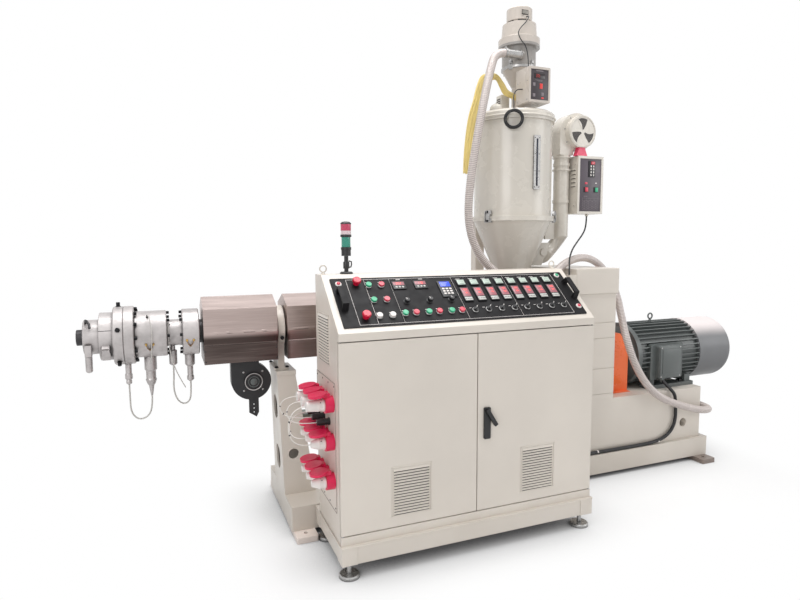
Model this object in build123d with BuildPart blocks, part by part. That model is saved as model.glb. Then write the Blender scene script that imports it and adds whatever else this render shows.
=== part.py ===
from build123d import *
import math
import os

# A single-screw plastic pipe extruder: a barrel and die carried on a steel base, its gearbox and
# motor, a hopper dryer with its loader above the feed throat, and the control cabinet in front.
# Millimetres. X runs from the die to the motor, Y away from the operator, Z up. The origin lies
# on the floor, in the middle of the four anchor holes of the base.

os.makedirs("parts", exist_ok=True)


def keep(piece, name):
    """Label a finished piece and write it as its own file."""
    piece.part.label = name
    export_step(piece.part, f"parts/{name}.step")


# Base and screw axis
axis_height = 1077.0
base_length = 2955.0
base_width = 640.0
beam_height = 130.0
foot_thickness = 30.0
foot_width = 112.0
foot_length = 220.0
foot_overhang = 85.0
foot_setback = 9.5
anchor_hole = 22.0
anchor_inset = 52.0
bay_length = 340.0
bay_width = 330.0
bay_pitch = 400.0
bay_count = 4
bay_centre = -420.0

# Column under the barrel
column_foot_length = 175.0
column_foot_depth = 290.0
column_top_length = 100.0
column_top_depth = 220.0
column_lean = 57.0
column_drop = 257.0
column_wall = 12.0
column_cap = 25.0
column_cap_rim = 3.0
column_window_width = 110.0
column_window_height = 132.0
column_window_corner = 50.0
column_windows = (335.0, 625.0)
column_port = 56.0
column_port_x = -1421.0
column_port_height = 382.0
collar_thickness = 36.0
collar_radius = 118.0
collar_neck_depth = 150.0
collar_foot_height = 16.0
collar_foot_overhang = 22.0

# Barrel, its covers and its fans
barrel_radius = 62.0
barrel_end = -1886.0
barrel_gap = 0.3
cover_sheet = 3.0
cover_half_width = 136.0
cover_front_start = -1869.0
cover_front_end = -1493.0
cover_rear_start = -1440.0
cover_rear_end = -150.0
cover_ridge = 181.0
cover_eaves = 125.0
cover_waist = 7.0
cover_belt = -59.0
cover_bottom = -161.0
cover_bulge = 10.0
fan_radius = 96.0
fan_growth = 6.0
fan_drop = 118.0
fan_depth = 62.0
fan_outlet = 147.0
fan_front = -78.0
fan_places = (-1620.0, -1080.0, -700.0, -320.0)
fan_motor_radius = 41.0
fan_motor_length = 22.0
fan_motor_ring = 49.0
fan_tail_width = 52.0
fan_tail_length = 97.0
fan_tail_depth = 20.0
fan_tail_sheet = 4.0
fan_tail_hole = 6.0
fan_tail_pitch = 22.0

# Gearbox, plinth, coupling guard and motor
gearbox_start = 337.0
gearbox_length = 320.0
plinth_ledge = 28.0
gearbox_corner = 8.0
gearbox_cap_overhang = 10.0
gearbox_cap_lift = 131.0
gearbox_cap_height = 159.0
gearbox_seams = (35.0, 203.0, 401.0, 502.0)
seam_width = 4.0
seam_depth = 3.0
plinth_end = 1437.0
plinth_top = 515.0
plinth_port = 60.0
plinth_port_x = 1277.0
plinth_port_height = 275.0
guard_length = 220.0
guard_half_width = 175.0
guard_eaves = 820.0
guard_top = 900.0
guard_sheet = 3.0
guard_flange = 30.0
motor_height = 225.0
motor_start = 905.0
motor_shield = 60.0
motor_frame_length = 532.0
motor_radius = 196.0
motor_fin_height = 24.0
motor_fin_width = 7.0
motor_fins = 40
motor_hub_radius = 92.0
motor_hub_length = 16.0
motor_foot_span = 356.0
motor_foot_width = 84.0
motor_foot_thickness = 26.0
motor_foot_setback = 60.0
motor_foot_web = 50.0
terminal_saddle_width = 290.0
terminal_saddle_height = 250.0
terminal_box_width = 195.0
terminal_box_height = 226.0
terminal_box_front = -250.0
terminal_box_x = 1181.0
terminal_box_centre = 705.0
terminal_gland_x = 1116.0
terminal_gland_radius = 18.0
terminal_gland_length = 24.0
terminal_gland_aim = (0.15, -0.77, -0.62)
cowl_length = 320.0
cowl_radius = 222.0
cowl_corner = 46.0
junction_width = 55.0
junction_depth = 50.0
junction_height = 81.0
junction_y = -280.0
junction_lift = 42.0

# Die, from the barrel's mouth towards the tip
flange_length = 82.0
flange_radius = 121.0
neck_length = 74.0
neck_radius = 68.0
body_length = 152.0
body_radius = 118.5
die_flange_length = 96.0
die_flange_radius = 147.5
die_flange_groove = 3.0
clamp_length = 62.0
clamp_radius = 120.0
clamp_split = 3.0
clamp_split_depth = 12.0
clamp_split_angle = 20.0
latch_angle = -32.0
latch_width = 38.0
latch_length = 74.0
latch_rise = 20.0
front_length = 73.0
front_radius = 86.0
bushing_length = 33.0
bushing_radius = 39.5
outlet_radius = 20.0
mandrel_radius = 15.0
valve_width = 30.0
valve_height = 54.0
valve_depth = 48.0
valve_centre_y = -82.0
valve_drop = 55.0
valve_rod_radius = 16.0
valve_rod_length = 82.0
connector_gap = 0.3
connector_seat = 10.0
lead_diameter = 8.0
thin_lead_diameter = 5.0

# Feed throat, hopper dryer and loader
hopper_x = 47.5
throat_length = 260.0
throat_width = 230.0
throat_rise = 130.0
throat_drop = 137.0
throat_bore = 62.0
throat_corner = 12.0
throat_neck = 83.0
neck_flange = 128.0
neck_flange_thickness = 30.0
stand_plate = 14.0
stand_depth = 346.0
stand_front = -115.0
stand_left = -121.0
stand_right = 216.0
stand_post = 62.0
gate_length = 220.0
gate_width = 190.0
gate_plate = 12.0
gate_height = 49.0
cone_foot_radius = 80.0
cone_height = 410.0
hopper_radius = 242.5
hopper_wall = 4.0
hopper_flange = 19.5
hopper_flange_thickness = 15.0
drum_height = 590.0
lid_rim = 19.5
lid_height = 58.0
lid_crown = 14.0
lid_roll = 7.0
glass_angle_x = 9.5
glass_width = 45.0
glass_length = 319.0
glass_thickness = 10.0
glass_slot = 12.0
glass_lift = 171.0
loader_offset = 35.0
loader_neck_radius = 42.0
loader_neck_flange = 34.0
loader_neck_height = 172.0
loader_cone_height = 110.0
loader_radius = 105.0
loader_body_height = 125.0
loader_rim_radius = 128.0
loader_rim_height = 62.0
loader_tier_radius = 110.0
loader_tier_height = 90.0
loader_cap_radius = 79.0
loader_cap_height = 80.0
inlet_radius = 23.0
inlet_start = -70.0
inlet_end = 40.0
inlet_y = -108.0
inlet_lift = 58.0
loader_box_left = -6.0
loader_box_width = 148.0
loader_box_front = -250.0
loader_box_depth = 140.0
loader_box_lift = 33.0
loader_box_height = 204.0
loader_arm_width = 40.0
loader_arm_height = 60.0
duct_x = 424.0
duct_radius = 50.0
duct_bend = 130.0
duct_end_lift = 170.0
duct_end_box = 124.0
duct_end_foot = 115.0
duct_end_top = 260.0
duct_end_reach = 63.0
duct_plug_radius = 25.0
duct_plug_x = 250.0
duct_plug_lift = 198.0
duct_flange_radius = 59.0
duct_flange_thickness = 11.0
duct_flanges = (1999.0, 2080.0)
duct_mouth = 2091.0
gasket_height = 8.0
duct_tab_width = 16.0
duct_tab_height = 113.0
dryer_box_left = 485.0
dryer_box_width = 205.0
dryer_box_front = -95.0
dryer_box_depth = 145.0
dryer_box_bottom = 1718.0
dryer_box_height = 374.0
dryer_box_frame = 16.0
dryer_box_recess = 4.0
dryer_bands = (1790.0, 2030.0)
band_width = 20.0
band_sheet = 4.0
blower_x = 515.0
blower_z = 2245.0
blower_radius = 116.0
blower_growth = 9.0
blower_outlet = 104.0
blower_front = -52.0
blower_depth = 100.0
blower_ring_radius = 104.0
blower_ring_wall = 6.0
blower_ring_depth = 44.0
blower_motor_radius = 65.0
blower_motor_length = 112.0
guard_hole_inner = 18.0
guard_hole_outer = 80.0
guard_hole_angle = 48.0
collar_red_width = 88.0
collar_red_depth = 70.0

# Control cabinet
cabinet_width = 1400.0
foot_clearance = 3.5
cabinet_gap = 25.0
plinth_depth = 480.0
plinth_bottom = 76.0
plinth_height = 88.0
corner_block = 75.0
corner_proud = 4.0
body_inset = 4.0
door_setback = 17.0
body_depth = 399.5
desk_run = 287.0
door_bottom = 211.0
door_top = 1099.0
door_thickness = 20.0
door_sheet = 2.5
door_gap = 5.0
door_rim = 8.0
door_hinge_rim = 24.0
door_edge_rim = 20.0
door_front_round = 4.0
door_back_round = 6.0
lip_height = 36.0
cabinet_top_height = 1385.0
sheet = 3.0
pivot_inset = 8.0
pivot_radius = 4.0
pivot_depth = 15.0
pivot_clearance = 0.1
pivot_shoulder = 3.0
levelling_radius = 49.0
levelling_disc = 18.0
levelling_stud = 11.0
levelling_inset = 47.0
levelling_nut = 20.0
levelling_nut_height = 14.0
louvre_width = 187.0
louvre_pitch = 13.8
louvre_slats = 16
louvre_rise = 10.0
louvre_depth = 6.0
door_louvre_centre = 383.5
door_louvre_left = 351.0
door_louvre_right = 345.5
side_louvre_y = -549.5
side_louvre_height = 1090.0
handle_x = -600.0
handle_height = 652.0
handle_width = 36.0
handle_length = 158.0
handle_base = 9.0
handle_lever = 20.0
handle_tilt = 32.0
handle_lever_length = 98.0

# Desk panel, measured from the cabinet's left edge and up the slope from the lip
panel_left = 37.0
panel_right = 1365.0
panel_low = 30.0
panel_high = 346.0
panel_thickness = 4.0
panel_corner = 6.0
grab_places = ((66.0, 199.0), (1350.0, 206.0))
grab_length = 134.0
grab_height = 42.0
grab_width = 30.0
grab_bar = 9.0
controller_width = 48.0
controller_height = 96.0
controller_first = 716.0
controller_pitch = 74.6
controller_count = 8
controller_centre = 201.0
controller_proud = 8.0
meter_height = 43.0
meter_centre = 285.5
display_places = (375.0, 490.5)
display_width = 68.0
display_centre = 283.0
display_height = 54.0
keypad_centre = (621.5, 246.5)
keypad_width = 77.0
keypad_height = 113.0
stop_places = ((161.0, 307.0), (153.0, 87.5))
stop_radius = 20.0
stop_height = 30.0
start_grid_centre = (251.5, 189.0)
start_grid_pitch = (65.0, 100.5)
row_first = 350.0
row_pair = 55.7
row_pitch = 121.5
row_count = 3
row_height = 96.0
button_radius = 14.5
button_height = 13.0
knob_places = (382.0, 504.0, 621.0)
knob_row = 173.0
knob_radius = 17.0
knob_height = 20.0
selector_first = 724.0
selector_pitch = 75.4
selector_radius = 13.0
pilot_places = ((73.0, 307.0), (1327.0, 318.0), (1341.0, 84.0))

# Sockets on the cabinet's left side
socket_plate = 2.0
socket_plate_height = 600.0
socket_plate_bottom = 300.0
socket_plate_width = 321.0
socket_plate_y = -577.5
socket_rows = (802.0, 623.0, 438.0)
socket_columns = (-700.0, -602.0, -504.0)
socket_radius = 39.0
socket_depth = 40.0
flap_radius = 43.0
flap_thickness = 12.0
flap_lift = 48.0
flap_tilt = 0.14
flap_hinge_width = 34.0
flap_hinge_height = 24.0
flap_hinge_rise = 3.0
flap_hinge_depth = 24.0
plug_radius = 27.5
plug_long = 84.0
plug_short = 66.0
plug_tip_radius = 15.0
inlet_connector_radius = 14.0
inlet_connector_length = 60.0
inlet_connector_height = 704.0
inlet_connectors = (-640.0, -545.0, -450.0)
socket_lead_diameter = 5.0

# Signal lamp, wiring duct and filter bag
lamp_x = -1203.0
lamp_y = -460.0
lamp_foot_radius = 32.0
lamp_stem_radius = 11.0
lamp_radius = 27.0
lamp_height = 258.0
wiring_y = 25.0
wiring_depth = 100.0
wiring_bottom = 405.0
wiring_height = 145.0
wiring_left = -1337.0
bag_y = -60.0
bag_thickness = 16.0
bag_strip = 35.0

# Hoses and cables
hose_diameter = 50.0
motor_cable_diameter = 22.0
dryer_cable_diameter = 10.0
loader_cable_diameter = 6.0
coil_height = 2258.0
coil_angle = -122.0
coil_outer_radius = 66.0
coil_inner_radius = 40.0
coil_thickness = 22.0
gland_radius = 20.0
gland_length = 14.0

# What follows from the sizes above
base_bottom = foot_thickness
base_top = base_bottom + beam_height
base_left = -base_length / 2
column_foot_x = base_left + column_foot_length / 2
column_top_x = column_foot_x - column_lean
column_top_height = axis_height - column_drop
collar_x = (cover_front_end + cover_rear_start) / 2
gearbox_depth = base_width - 2 * plinth_ledge
gearbox_end = gearbox_start + gearbox_length
gearbox_x = (gearbox_start + gearbox_end) / 2
gearbox_cap_bottom = axis_height + gearbox_cap_lift
gearbox_top = gearbox_cap_bottom + gearbox_cap_height
motor_axis_height = plinth_top + motor_height
motor_end = motor_start + motor_shield + motor_frame_length
throat_top = axis_height + throat_rise
throat_bottom = axis_height - throat_drop
stand_top = throat_top + stand_plate
cone_foot_height = stand_top + gate_height
hopper_flange_height = cone_foot_height + cone_height
hopper_flange_radius = hopper_radius + hopper_flange
cone_rim_height = hopper_flange_height - hopper_flange_thickness
hopper_top = hopper_flange_height + drum_height
lid_radius = hopper_radius + lid_rim
lid_top = hopper_top + lid_height
loader_x = hopper_x + loader_offset
loader_cone_foot = lid_top + loader_neck_height
loader_cone_top = loader_cone_foot + loader_cone_height
loader_rim_bottom = loader_cone_top + loader_body_height
cabinet_left = base_left + foot_setback + foot_width + foot_clearance
cabinet_right = cabinet_left + cabinet_width
cabinet_middle = (cabinet_left + cabinet_right) / 2
cabinet_front = -base_width / 2 - cabinet_gap - plinth_depth
door_face = cabinet_front + door_setback
body_back = door_face + body_depth
desk_back = door_face + desk_run
lip_bottom = door_top + door_gap
lip_top = lip_bottom + lip_height
cabinet_floor = plinth_bottom + plinth_height
rail_top = door_bottom - door_gap
wall_front = door_face + door_thickness + door_gap
side_left_x = cabinet_left + body_inset
side_right_x = cabinet_right - body_inset - sheet
screw_axis = Axis((0, 0, axis_height), (1, 0, 0))


def turned_on_screw_axis(outline):
    """Revolve an outline of (x, radius) points about the screw axis."""
    points = [(x, axis_height + radius) for x, radius in outline]
    with BuildPart() as piece:
        with BuildSketch(Plane.XZ):
            with BuildLine():
                Polyline(*points, close=True)
            make_face()
        revolve(axis=screw_axis)
    return piece


def turned_upright(outline, centre_x, centre_y=0):
    """Revolve an outline of (radius, z) points about an upright axis."""
    points = [(centre_x + radius, height) for radius, height in outline]
    with BuildPart() as piece:
        with BuildSketch(Plane.XZ.offset(-centre_y)):
            with BuildLine():
                Polyline(*points, close=True)
            make_face()
        revolve(axis=Axis((centre_x, centre_y, 0), (0, 0, 1)))
    return piece


def scroll_housing(centre_x, centre_z, radius, growth, outlet, mouth_z, front_y, depth):
    """A fan's scroll: its radius grows by a step each quarter turn, from the tongue to the duct."""
    up = 1 if mouth_z > centre_z else -1
    duct_left = centre_x - radius - 3 * growth
    duct_right = duct_left + outlet
    tongue_x = duct_right - centre_x
    tongue_turn = math.degrees(math.acos(tongue_x / radius))
    grown = (centre_x - growth, centre_z + up * growth)
    with BuildPart() as housing:
        with BuildSketch(Plane.XZ.offset(-front_y)):
            with BuildLine():
                first = CenterArc((centre_x, centre_z), radius, up * tongue_turn, -up * tongue_turn)
                CenterArc((centre_x - growth, centre_z), radius + growth, 0, -up * 90)
                last = CenterArc(grown, radius + 2 * growth, -up * 90, -up * 90)
                Polyline(last @ 1, (duct_left, mouth_z), (duct_right, mouth_z), first @ 0)
            make_face()
        extrude(amount=-depth)
    return housing


# Base frame: a welded ladder with open bays between the column and the gearbox
with BuildPart() as base_frame:
    with BuildSketch(Plane.XY.offset(base_bottom)):
        Rectangle(base_length, base_width)
        with Locations((bay_centre, 0)):
            with GridLocations(bay_pitch, 0, bay_count, 1):
                Rectangle(bay_length, bay_width, mode=Mode.SUBTRACT)
    extrude(amount=beam_height)
    fillet(base_frame.edges().filter_by(Axis.Z).group_by(Axis.X)[0], radius=6)
keep(base_frame, "base_frame")

# Foot plates: one at each corner, with an anchor hole outside the beam
anchor_x = base_length / 2 - foot_width / 2 - foot_setback
anchor_y = base_width / 2 + foot_overhang - anchor_inset
with BuildPart() as foot_plates:
    for side in (-1, 1):
        with BuildSketch():
            with Locations((0, side * (base_width / 2 + foot_overhang - foot_length / 2))):
                with GridLocations(2 * anchor_x, 0, 2, 1):
                    RectangleRounded(foot_width, foot_length, 8)
            with Locations((0, side * anchor_y)):
                with GridLocations(2 * anchor_x, 0, 2, 1):
                    Circle(anchor_hole / 2, mode=Mode.SUBTRACT)
        extrude(amount=foot_thickness)
keep(foot_plates, "foot_plates")

# Column: a hollow casting that tapers upwards, with rounded windows in its end faces and a cap
with BuildPart() as pedestal:
    with BuildSketch(Plane.XY.offset(base_top)):
        with Locations((column_foot_x, 0)):
            Rectangle(column_foot_length, column_foot_depth)
    with BuildSketch(Plane.XY.offset(column_top_height)):
        with Locations((column_top_x, 0)):
            Rectangle(column_top_length, column_top_depth)
    loft()
    with BuildSketch(Plane.XY.offset(base_top)):
        with Locations((column_foot_x, 0)):
            Rectangle(column_foot_length - 2 * column_wall, column_foot_depth - 2 * column_wall)
    with BuildSketch(Plane.XY.offset(column_top_height - column_cap)):
        with Locations((column_top_x, 0)):
            Rectangle(column_top_length - 2 * column_wall, column_top_depth - 2 * column_wall)
    loft(mode=Mode.SUBTRACT)
    with BuildSketch(Plane.YZ.offset(column_top_x - column_top_length)):
        for window_height in column_windows:
            with Locations((0, window_height)):
                RectangleRounded(column_window_width, column_window_height, column_window_corner)
    extrude(amount=column_top_length + column_wall, mode=Mode.SUBTRACT)
    with BuildSketch(Plane.XZ.offset(column_foot_depth / 2)):
        with Locations((column_port_x, column_port_height)):
            Circle(column_port / 2)
    extrude(amount=-3 * column_wall, mode=Mode.SUBTRACT)
    with BuildSketch(Plane.XY.offset(column_top_height)):
        with Locations((column_top_x, 0)):
            RectangleRounded(
                column_top_length + 2 * column_cap_rim, column_top_depth + 2 * column_cap_rim, 4
            )
    extrude(amount=column_cap)
keep(pedestal, "pedestal")

# Collar: the ring that carries the barrel, with its neck and foot
collar_foot = column_top_height + column_cap
with BuildPart() as barrel_collar:
    with BuildSketch(Plane.YZ.offset(collar_x - collar_thickness / 2)):
        with Locations((0, axis_height)):
            Circle(collar_radius)
        with Locations((0, (collar_foot + axis_height) / 2)):
            Rectangle(collar_neck_depth, axis_height - collar_foot)
        with Locations((0, axis_height)):
            Circle(barrel_radius + barrel_gap, mode=Mode.SUBTRACT)
    extrude(amount=collar_thickness)
    with BuildSketch(Plane.XY.offset(collar_foot)):
        with Locations((collar_x, 0)):
            Rectangle(collar_thickness + 2 * collar_foot_overhang, collar_neck_depth)
    extrude(amount=collar_foot_height)
keep(barrel_collar, "barrel_collar")

# Barrel: from its mouth to the feed throat
barrel_back = hopper_x - throat_length / 2
barrel = turned_on_screw_axis(
    [(barrel_end, 0), (barrel_end, barrel_radius), (barrel_back, barrel_radius), (barrel_back, 0)]
)
keep(barrel, "barrel")


def cover_section(inset):
    """Closed (y, z) outline of a folded barrel cover at the height of the screw axis."""
    half = [
        (0, cover_ridge - inset),
        (cover_half_width - inset, cover_eaves - inset / 2),
        (cover_half_width + cover_bulge - inset, cover_waist),
        (cover_half_width - inset, cover_belt),
        (cover_half_width - inset, cover_bottom + inset),
    ]
    mirrored = [(-y, z) for y, z in reversed(half[1:])]
    return [(y, z + axis_height) for y, z in half + mirrored]


# Barrel covers: folded sheet with end plates that the barrel passes through
with BuildPart() as barrel_covers:
    for start, end in ((cover_front_start, cover_front_end), (cover_rear_start, cover_rear_end)):
        with BuildSketch(Plane.YZ.offset(start)):
            with BuildLine():
                Polyline(*cover_section(0), close=True)
            make_face()
        extrude(amount=end - start)
        with BuildSketch(Plane.YZ.offset(start + cover_sheet)):
            with BuildLine():
                Polyline(*cover_section(cover_sheet), close=True)
            make_face()
        extrude(amount=end - start - 2 * cover_sheet, mode=Mode.SUBTRACT)
        with BuildSketch(Plane.YZ.offset(start)):
            with Locations((0, axis_height)):
                Circle(barrel_radius + barrel_gap)
        extrude(amount=end - start, mode=Mode.SUBTRACT)
keep(barrel_covers, "barrel_covers")

# Cooling fans: a scroll housing under each heating zone, with its motor and a slotted tail
fan_top = axis_height + cover_bottom
fan_z = fan_top - fan_drop
fan_bottom = fan_z - fan_radius - fan_growth
fan_housings = [
    scroll_housing(x, fan_z, fan_radius, fan_growth, fan_outlet, fan_top, fan_front, fan_depth)
    for x in fan_places
]
tail_half = fan_tail_width / 2
with BuildPart() as cooling_fans:
    for fan_x, housing in zip(fan_places, fan_housings):
        add(housing.part)
        with BuildSketch(Plane.XZ.offset(-fan_front)):
            with Locations((fan_x, fan_z)):
                Circle(fan_motor_ring)
                Circle(fan_motor_radius, mode=Mode.SUBTRACT)
        extrude(amount=-seam_depth, mode=Mode.SUBTRACT)
        with BuildSketch(Plane.XZ.offset(-fan_front)):
            with Locations((fan_x, fan_z)):
                Circle(fan_motor_radius)
        extrude(amount=fan_motor_length)
        fillet(cooling_fans.faces().sort_by(Axis.Y)[0].edges(), radius=6)
        tail_low = fan_bottom - fan_tail_length
        with BuildSketch(Plane.XZ.offset(-fan_front)):
            with BuildLine():
                Polyline(
                    (fan_x - tail_half, fan_bottom + fan_growth * 3),
                    (fan_x - tail_half, tail_low + tail_half),
                    (fan_x + tail_half / 2, tail_low),
                    (fan_x + tail_half, tail_low + tail_half),
                    (fan_x + tail_half, fan_bottom + fan_growth * 3),
                    close=True,
                )
            make_face()
        extrude(amount=-fan_tail_depth)
        with BuildSketch(Plane.XZ.offset(-fan_front - fan_tail_sheet)):
            with Locations((fan_x - fan_tail_sheet, fan_bottom - fan_tail_length / 2)):
                Rectangle(fan_tail_width, fan_tail_length - 1)
        extrude(amount=-fan_tail_depth, mode=Mode.SUBTRACT)
        with BuildSketch(Plane.XZ.offset(-fan_front)):
            with Locations((fan_x, fan_bottom - fan_tail_length / 2)):
                with GridLocations(0, fan_tail_pitch, 1, 3):
                    Circle(fan_tail_hole / 2)
        extrude(amount=-fan_tail_sheet, mode=Mode.SUBTRACT)
keep(cooling_fans, "cooling_fans")

# Gearbox: a stack of flanged castings, parted by shallow seams
with BuildPart() as gearbox:
    with BuildSketch(Plane.XY.offset(plinth_top)):
        with Locations((gearbox_x, 0)):
            RectangleRounded(gearbox_length, gearbox_depth, gearbox_corner)
    extrude(amount=gearbox_cap_bottom - plinth_top)
    for seam in gearbox_seams:
        with BuildSketch(Plane.XY.offset(plinth_top + seam)):
            with Locations((gearbox_x, 0)):
                Rectangle(gearbox_length, gearbox_depth)
                RectangleRounded(
                    gearbox_length - 2 * seam_depth,
                    gearbox_depth - 2 * seam_depth,
                    gearbox_corner - seam_depth,
                    mode=Mode.SUBTRACT,
                )
        extrude(amount=seam_width, mode=Mode.SUBTRACT)
keep(gearbox, "gearbox")

# Gearbox cap: the bearing housing, a little wider all round, with a junction box on its left end
cap_left = gearbox_start - gearbox_cap_overhang
junction_bottom = gearbox_cap_bottom + junction_lift
cable_entry_x = cap_left - 0.7 * junction_width
with BuildPart() as gearbox_cap:
    with BuildSketch(Plane.XY.offset(gearbox_cap_bottom)):
        with Locations((gearbox_x, 0)):
            RectangleRounded(
                gearbox_length + 2 * gearbox_cap_overhang,
                gearbox_depth + 2 * gearbox_cap_overhang,
                gearbox_corner,
            )
    extrude(amount=gearbox_cap_height)
    fillet(gearbox_cap.faces().sort_by(Axis.Z)[-1].edges(), radius=4)
    with BuildSketch(Plane.XY.offset(junction_bottom)):
        with Locations((cap_left - junction_width / 2, junction_y)):
            RectangleRounded(junction_width + 2, junction_depth, 3)
    extrude(amount=junction_height)
keep(gearbox_cap, "gearbox_cap")

# Plinth: the welded box under the gearbox and motor, with a lifting-bar hole through it
with BuildPart() as motor_plinth:
    with BuildSketch(Plane.XY.offset(base_top)):
        with Locations(((gearbox_start + plinth_end) / 2, 0)):
            RectangleRounded(plinth_end - gearbox_start, gearbox_depth, gearbox_corner)
    extrude(amount=plinth_top - base_top)
    with BuildSketch(Plane.XZ.offset(gearbox_depth / 2)):
        with Locations((plinth_port_x, plinth_port_height)):
            Circle(plinth_port / 2)
    extrude(amount=-gearbox_depth, mode=Mode.SUBTRACT)
keep(motor_plinth, "motor_plinth")


def guard_section(inset, foot):
    """Closed (y, z) outline of the guard tunnel, or of its inside."""
    chamfer_width = guard_top - guard_eaves
    half = [
        (guard_half_width - inset, foot),
        (guard_half_width - inset, guard_eaves - inset / 2),
        (guard_half_width - chamfer_width - inset / 2, guard_top - inset),
    ]
    return half + [(-y, z) for y, z in reversed(half)]


# Coupling guard: a bent sheet tunnel between gearbox and motor, with a bolted foot on each side
with BuildPart() as coupling_guard:
    with BuildSketch(Plane.YZ.offset(gearbox_end)):
        with BuildLine():
            Polyline(*guard_section(0, plinth_top), close=True)
        make_face()
        with Locations((0, plinth_top + guard_sheet / 2)):
            Rectangle(2 * (guard_half_width + guard_flange), guard_sheet)
        with BuildLine():
            Polyline(*guard_section(guard_sheet, plinth_top), close=True)
        make_face(mode=Mode.SUBTRACT)
    extrude(amount=guard_length)
keep(coupling_guard, "coupling_guard")

# Motor: hub, end shield, finned frame, terminal box on its saddle, and feet
fin_start = motor_start + motor_shield
motor_middle = fin_start + motor_frame_length / 2
motor_tip_radius = motor_radius + motor_fin_height
terminal_bottom = terminal_box_centre - terminal_box_height / 2
terminal_gland = Plane(
    origin=(terminal_gland_x, terminal_box_front + terminal_gland_radius, terminal_bottom),
    z_dir=terminal_gland_aim,
)
with BuildPart() as motor_frame:
    with BuildSketch(Plane.XZ):
        with BuildLine():
            Polyline(
                (motor_start - motor_hub_length, motor_axis_height),
                (motor_start - motor_hub_length, motor_axis_height + motor_hub_radius),
                (motor_start, motor_axis_height + motor_hub_radius),
                (motor_start, motor_axis_height + motor_radius - motor_fin_height * 2),
                (motor_start + motor_fin_height, motor_axis_height + motor_radius),
                (motor_start + motor_fin_height, motor_axis_height + motor_tip_radius),
                (fin_start, motor_axis_height + motor_tip_radius),
                (fin_start, motor_axis_height),
                close=True,
            )
        make_face()
    revolve(axis=Axis((0, 0, motor_axis_height), (1, 0, 0)))
    with BuildSketch(Plane.YZ.offset(fin_start)):
        with Locations((0, motor_axis_height)):
            Circle(motor_radius)
            with PolarLocations(motor_radius + motor_fin_height / 2 - 3, motor_fins):
                Rectangle(motor_fin_height + 6, motor_fin_width)
    extrude(amount=motor_frame_length)
    with BuildSketch(Plane.XZ.offset(motor_radius * 0.9)):
        with Locations((terminal_box_x, terminal_box_centre)):
            RectangleRounded(terminal_saddle_width, terminal_saddle_height, 18)
    extrude(amount=motor_tip_radius - motor_radius * 0.9)
    with BuildSketch(Plane.XZ.offset(motor_tip_radius)):
        with Locations((terminal_box_x, terminal_box_centre)):
            RectangleRounded(terminal_box_width, terminal_box_height, 12)
    extrude(amount=-terminal_box_front - motor_tip_radius)
    fillet(motor_frame.faces().sort_by(Axis.Y)[0].edges(), radius=5)
    with BuildSketch(terminal_gland.offset(-terminal_gland_length)):
        Circle(terminal_gland_radius)
    extrude(amount=2 * terminal_gland_length)
    with BuildSketch(Plane.XY.offset(plinth_top)):
        with Locations((motor_middle, 0)):
            with GridLocations(0, motor_foot_span, 1, 2):
                Rectangle(motor_frame_length - 2 * motor_foot_setback, motor_foot_width)
    extrude(amount=motor_foot_thickness)
    with BuildSketch(Plane.XY.offset(plinth_top + motor_foot_thickness)):
        with Locations((motor_middle, 0)):
            with GridLocations(
                motor_frame_length - 4 * motor_foot_web, motor_foot_span - motor_foot_width, 2, 2
            ):
                Rectangle(motor_foot_web, motor_foot_width + motor_foot_web)
    extrude(amount=motor_foot_web)
keep(motor_frame, "motor_frame")

# Fan cowl of the motor
with BuildPart() as motor_cowl:
    with BuildSketch(Plane.YZ.offset(motor_end)):
        with Locations((0, motor_axis_height)):
            Circle(cowl_radius)
    extrude(amount=cowl_length)
    fillet(motor_cowl.faces().sort_by(Axis.X)[-1].edges(), radius=cowl_corner)
keep(motor_cowl, "motor_cowl")

# Die: turned pieces, from the barrel's mouth to the tip
flange_start = barrel_end - flange_length
neck_start = flange_start - neck_length
body_start = neck_start - body_length
die_flange_start = body_start - die_flange_length
clamp_start = die_flange_start - clamp_length
front_start = clamp_start - front_length
bushing_start = front_start - bushing_length


def disc(start, length, radius, edge):
    """A solid turned disc with chamfered rims."""
    end = start + length
    return turned_on_screw_axis(
        [
            (start, 0),
            (start, radius - edge),
            (start + edge, radius),
            (end - edge, radius),
            (end, radius - edge),
            (end, 0),
        ]
    )


keep(disc(flange_start, flange_length, flange_radius, 4), "barrel_flange")
keep(disc(neck_start, neck_length, neck_radius, 1), "die_neck")
keep(disc(body_start, body_length, body_radius, 4), "die_body")

# Die flange: the widest ring, with a turned groove round its middle
groove_x = die_flange_start + die_flange_length / 2
die_flange = turned_on_screw_axis(
    [
        (die_flange_start, 0),
        (die_flange_start, die_flange_radius - 6),
        (die_flange_start + 6, die_flange_radius),
        (groove_x - die_flange_groove, die_flange_radius),
        (groove_x, die_flange_radius - die_flange_groove),
        (groove_x + die_flange_groove, die_flange_radius),
        (body_start - 4, die_flange_radius),
        (body_start, die_flange_radius - 4),
        (body_start, 0),
    ]
)
keep(die_flange, "die_flange")

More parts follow.
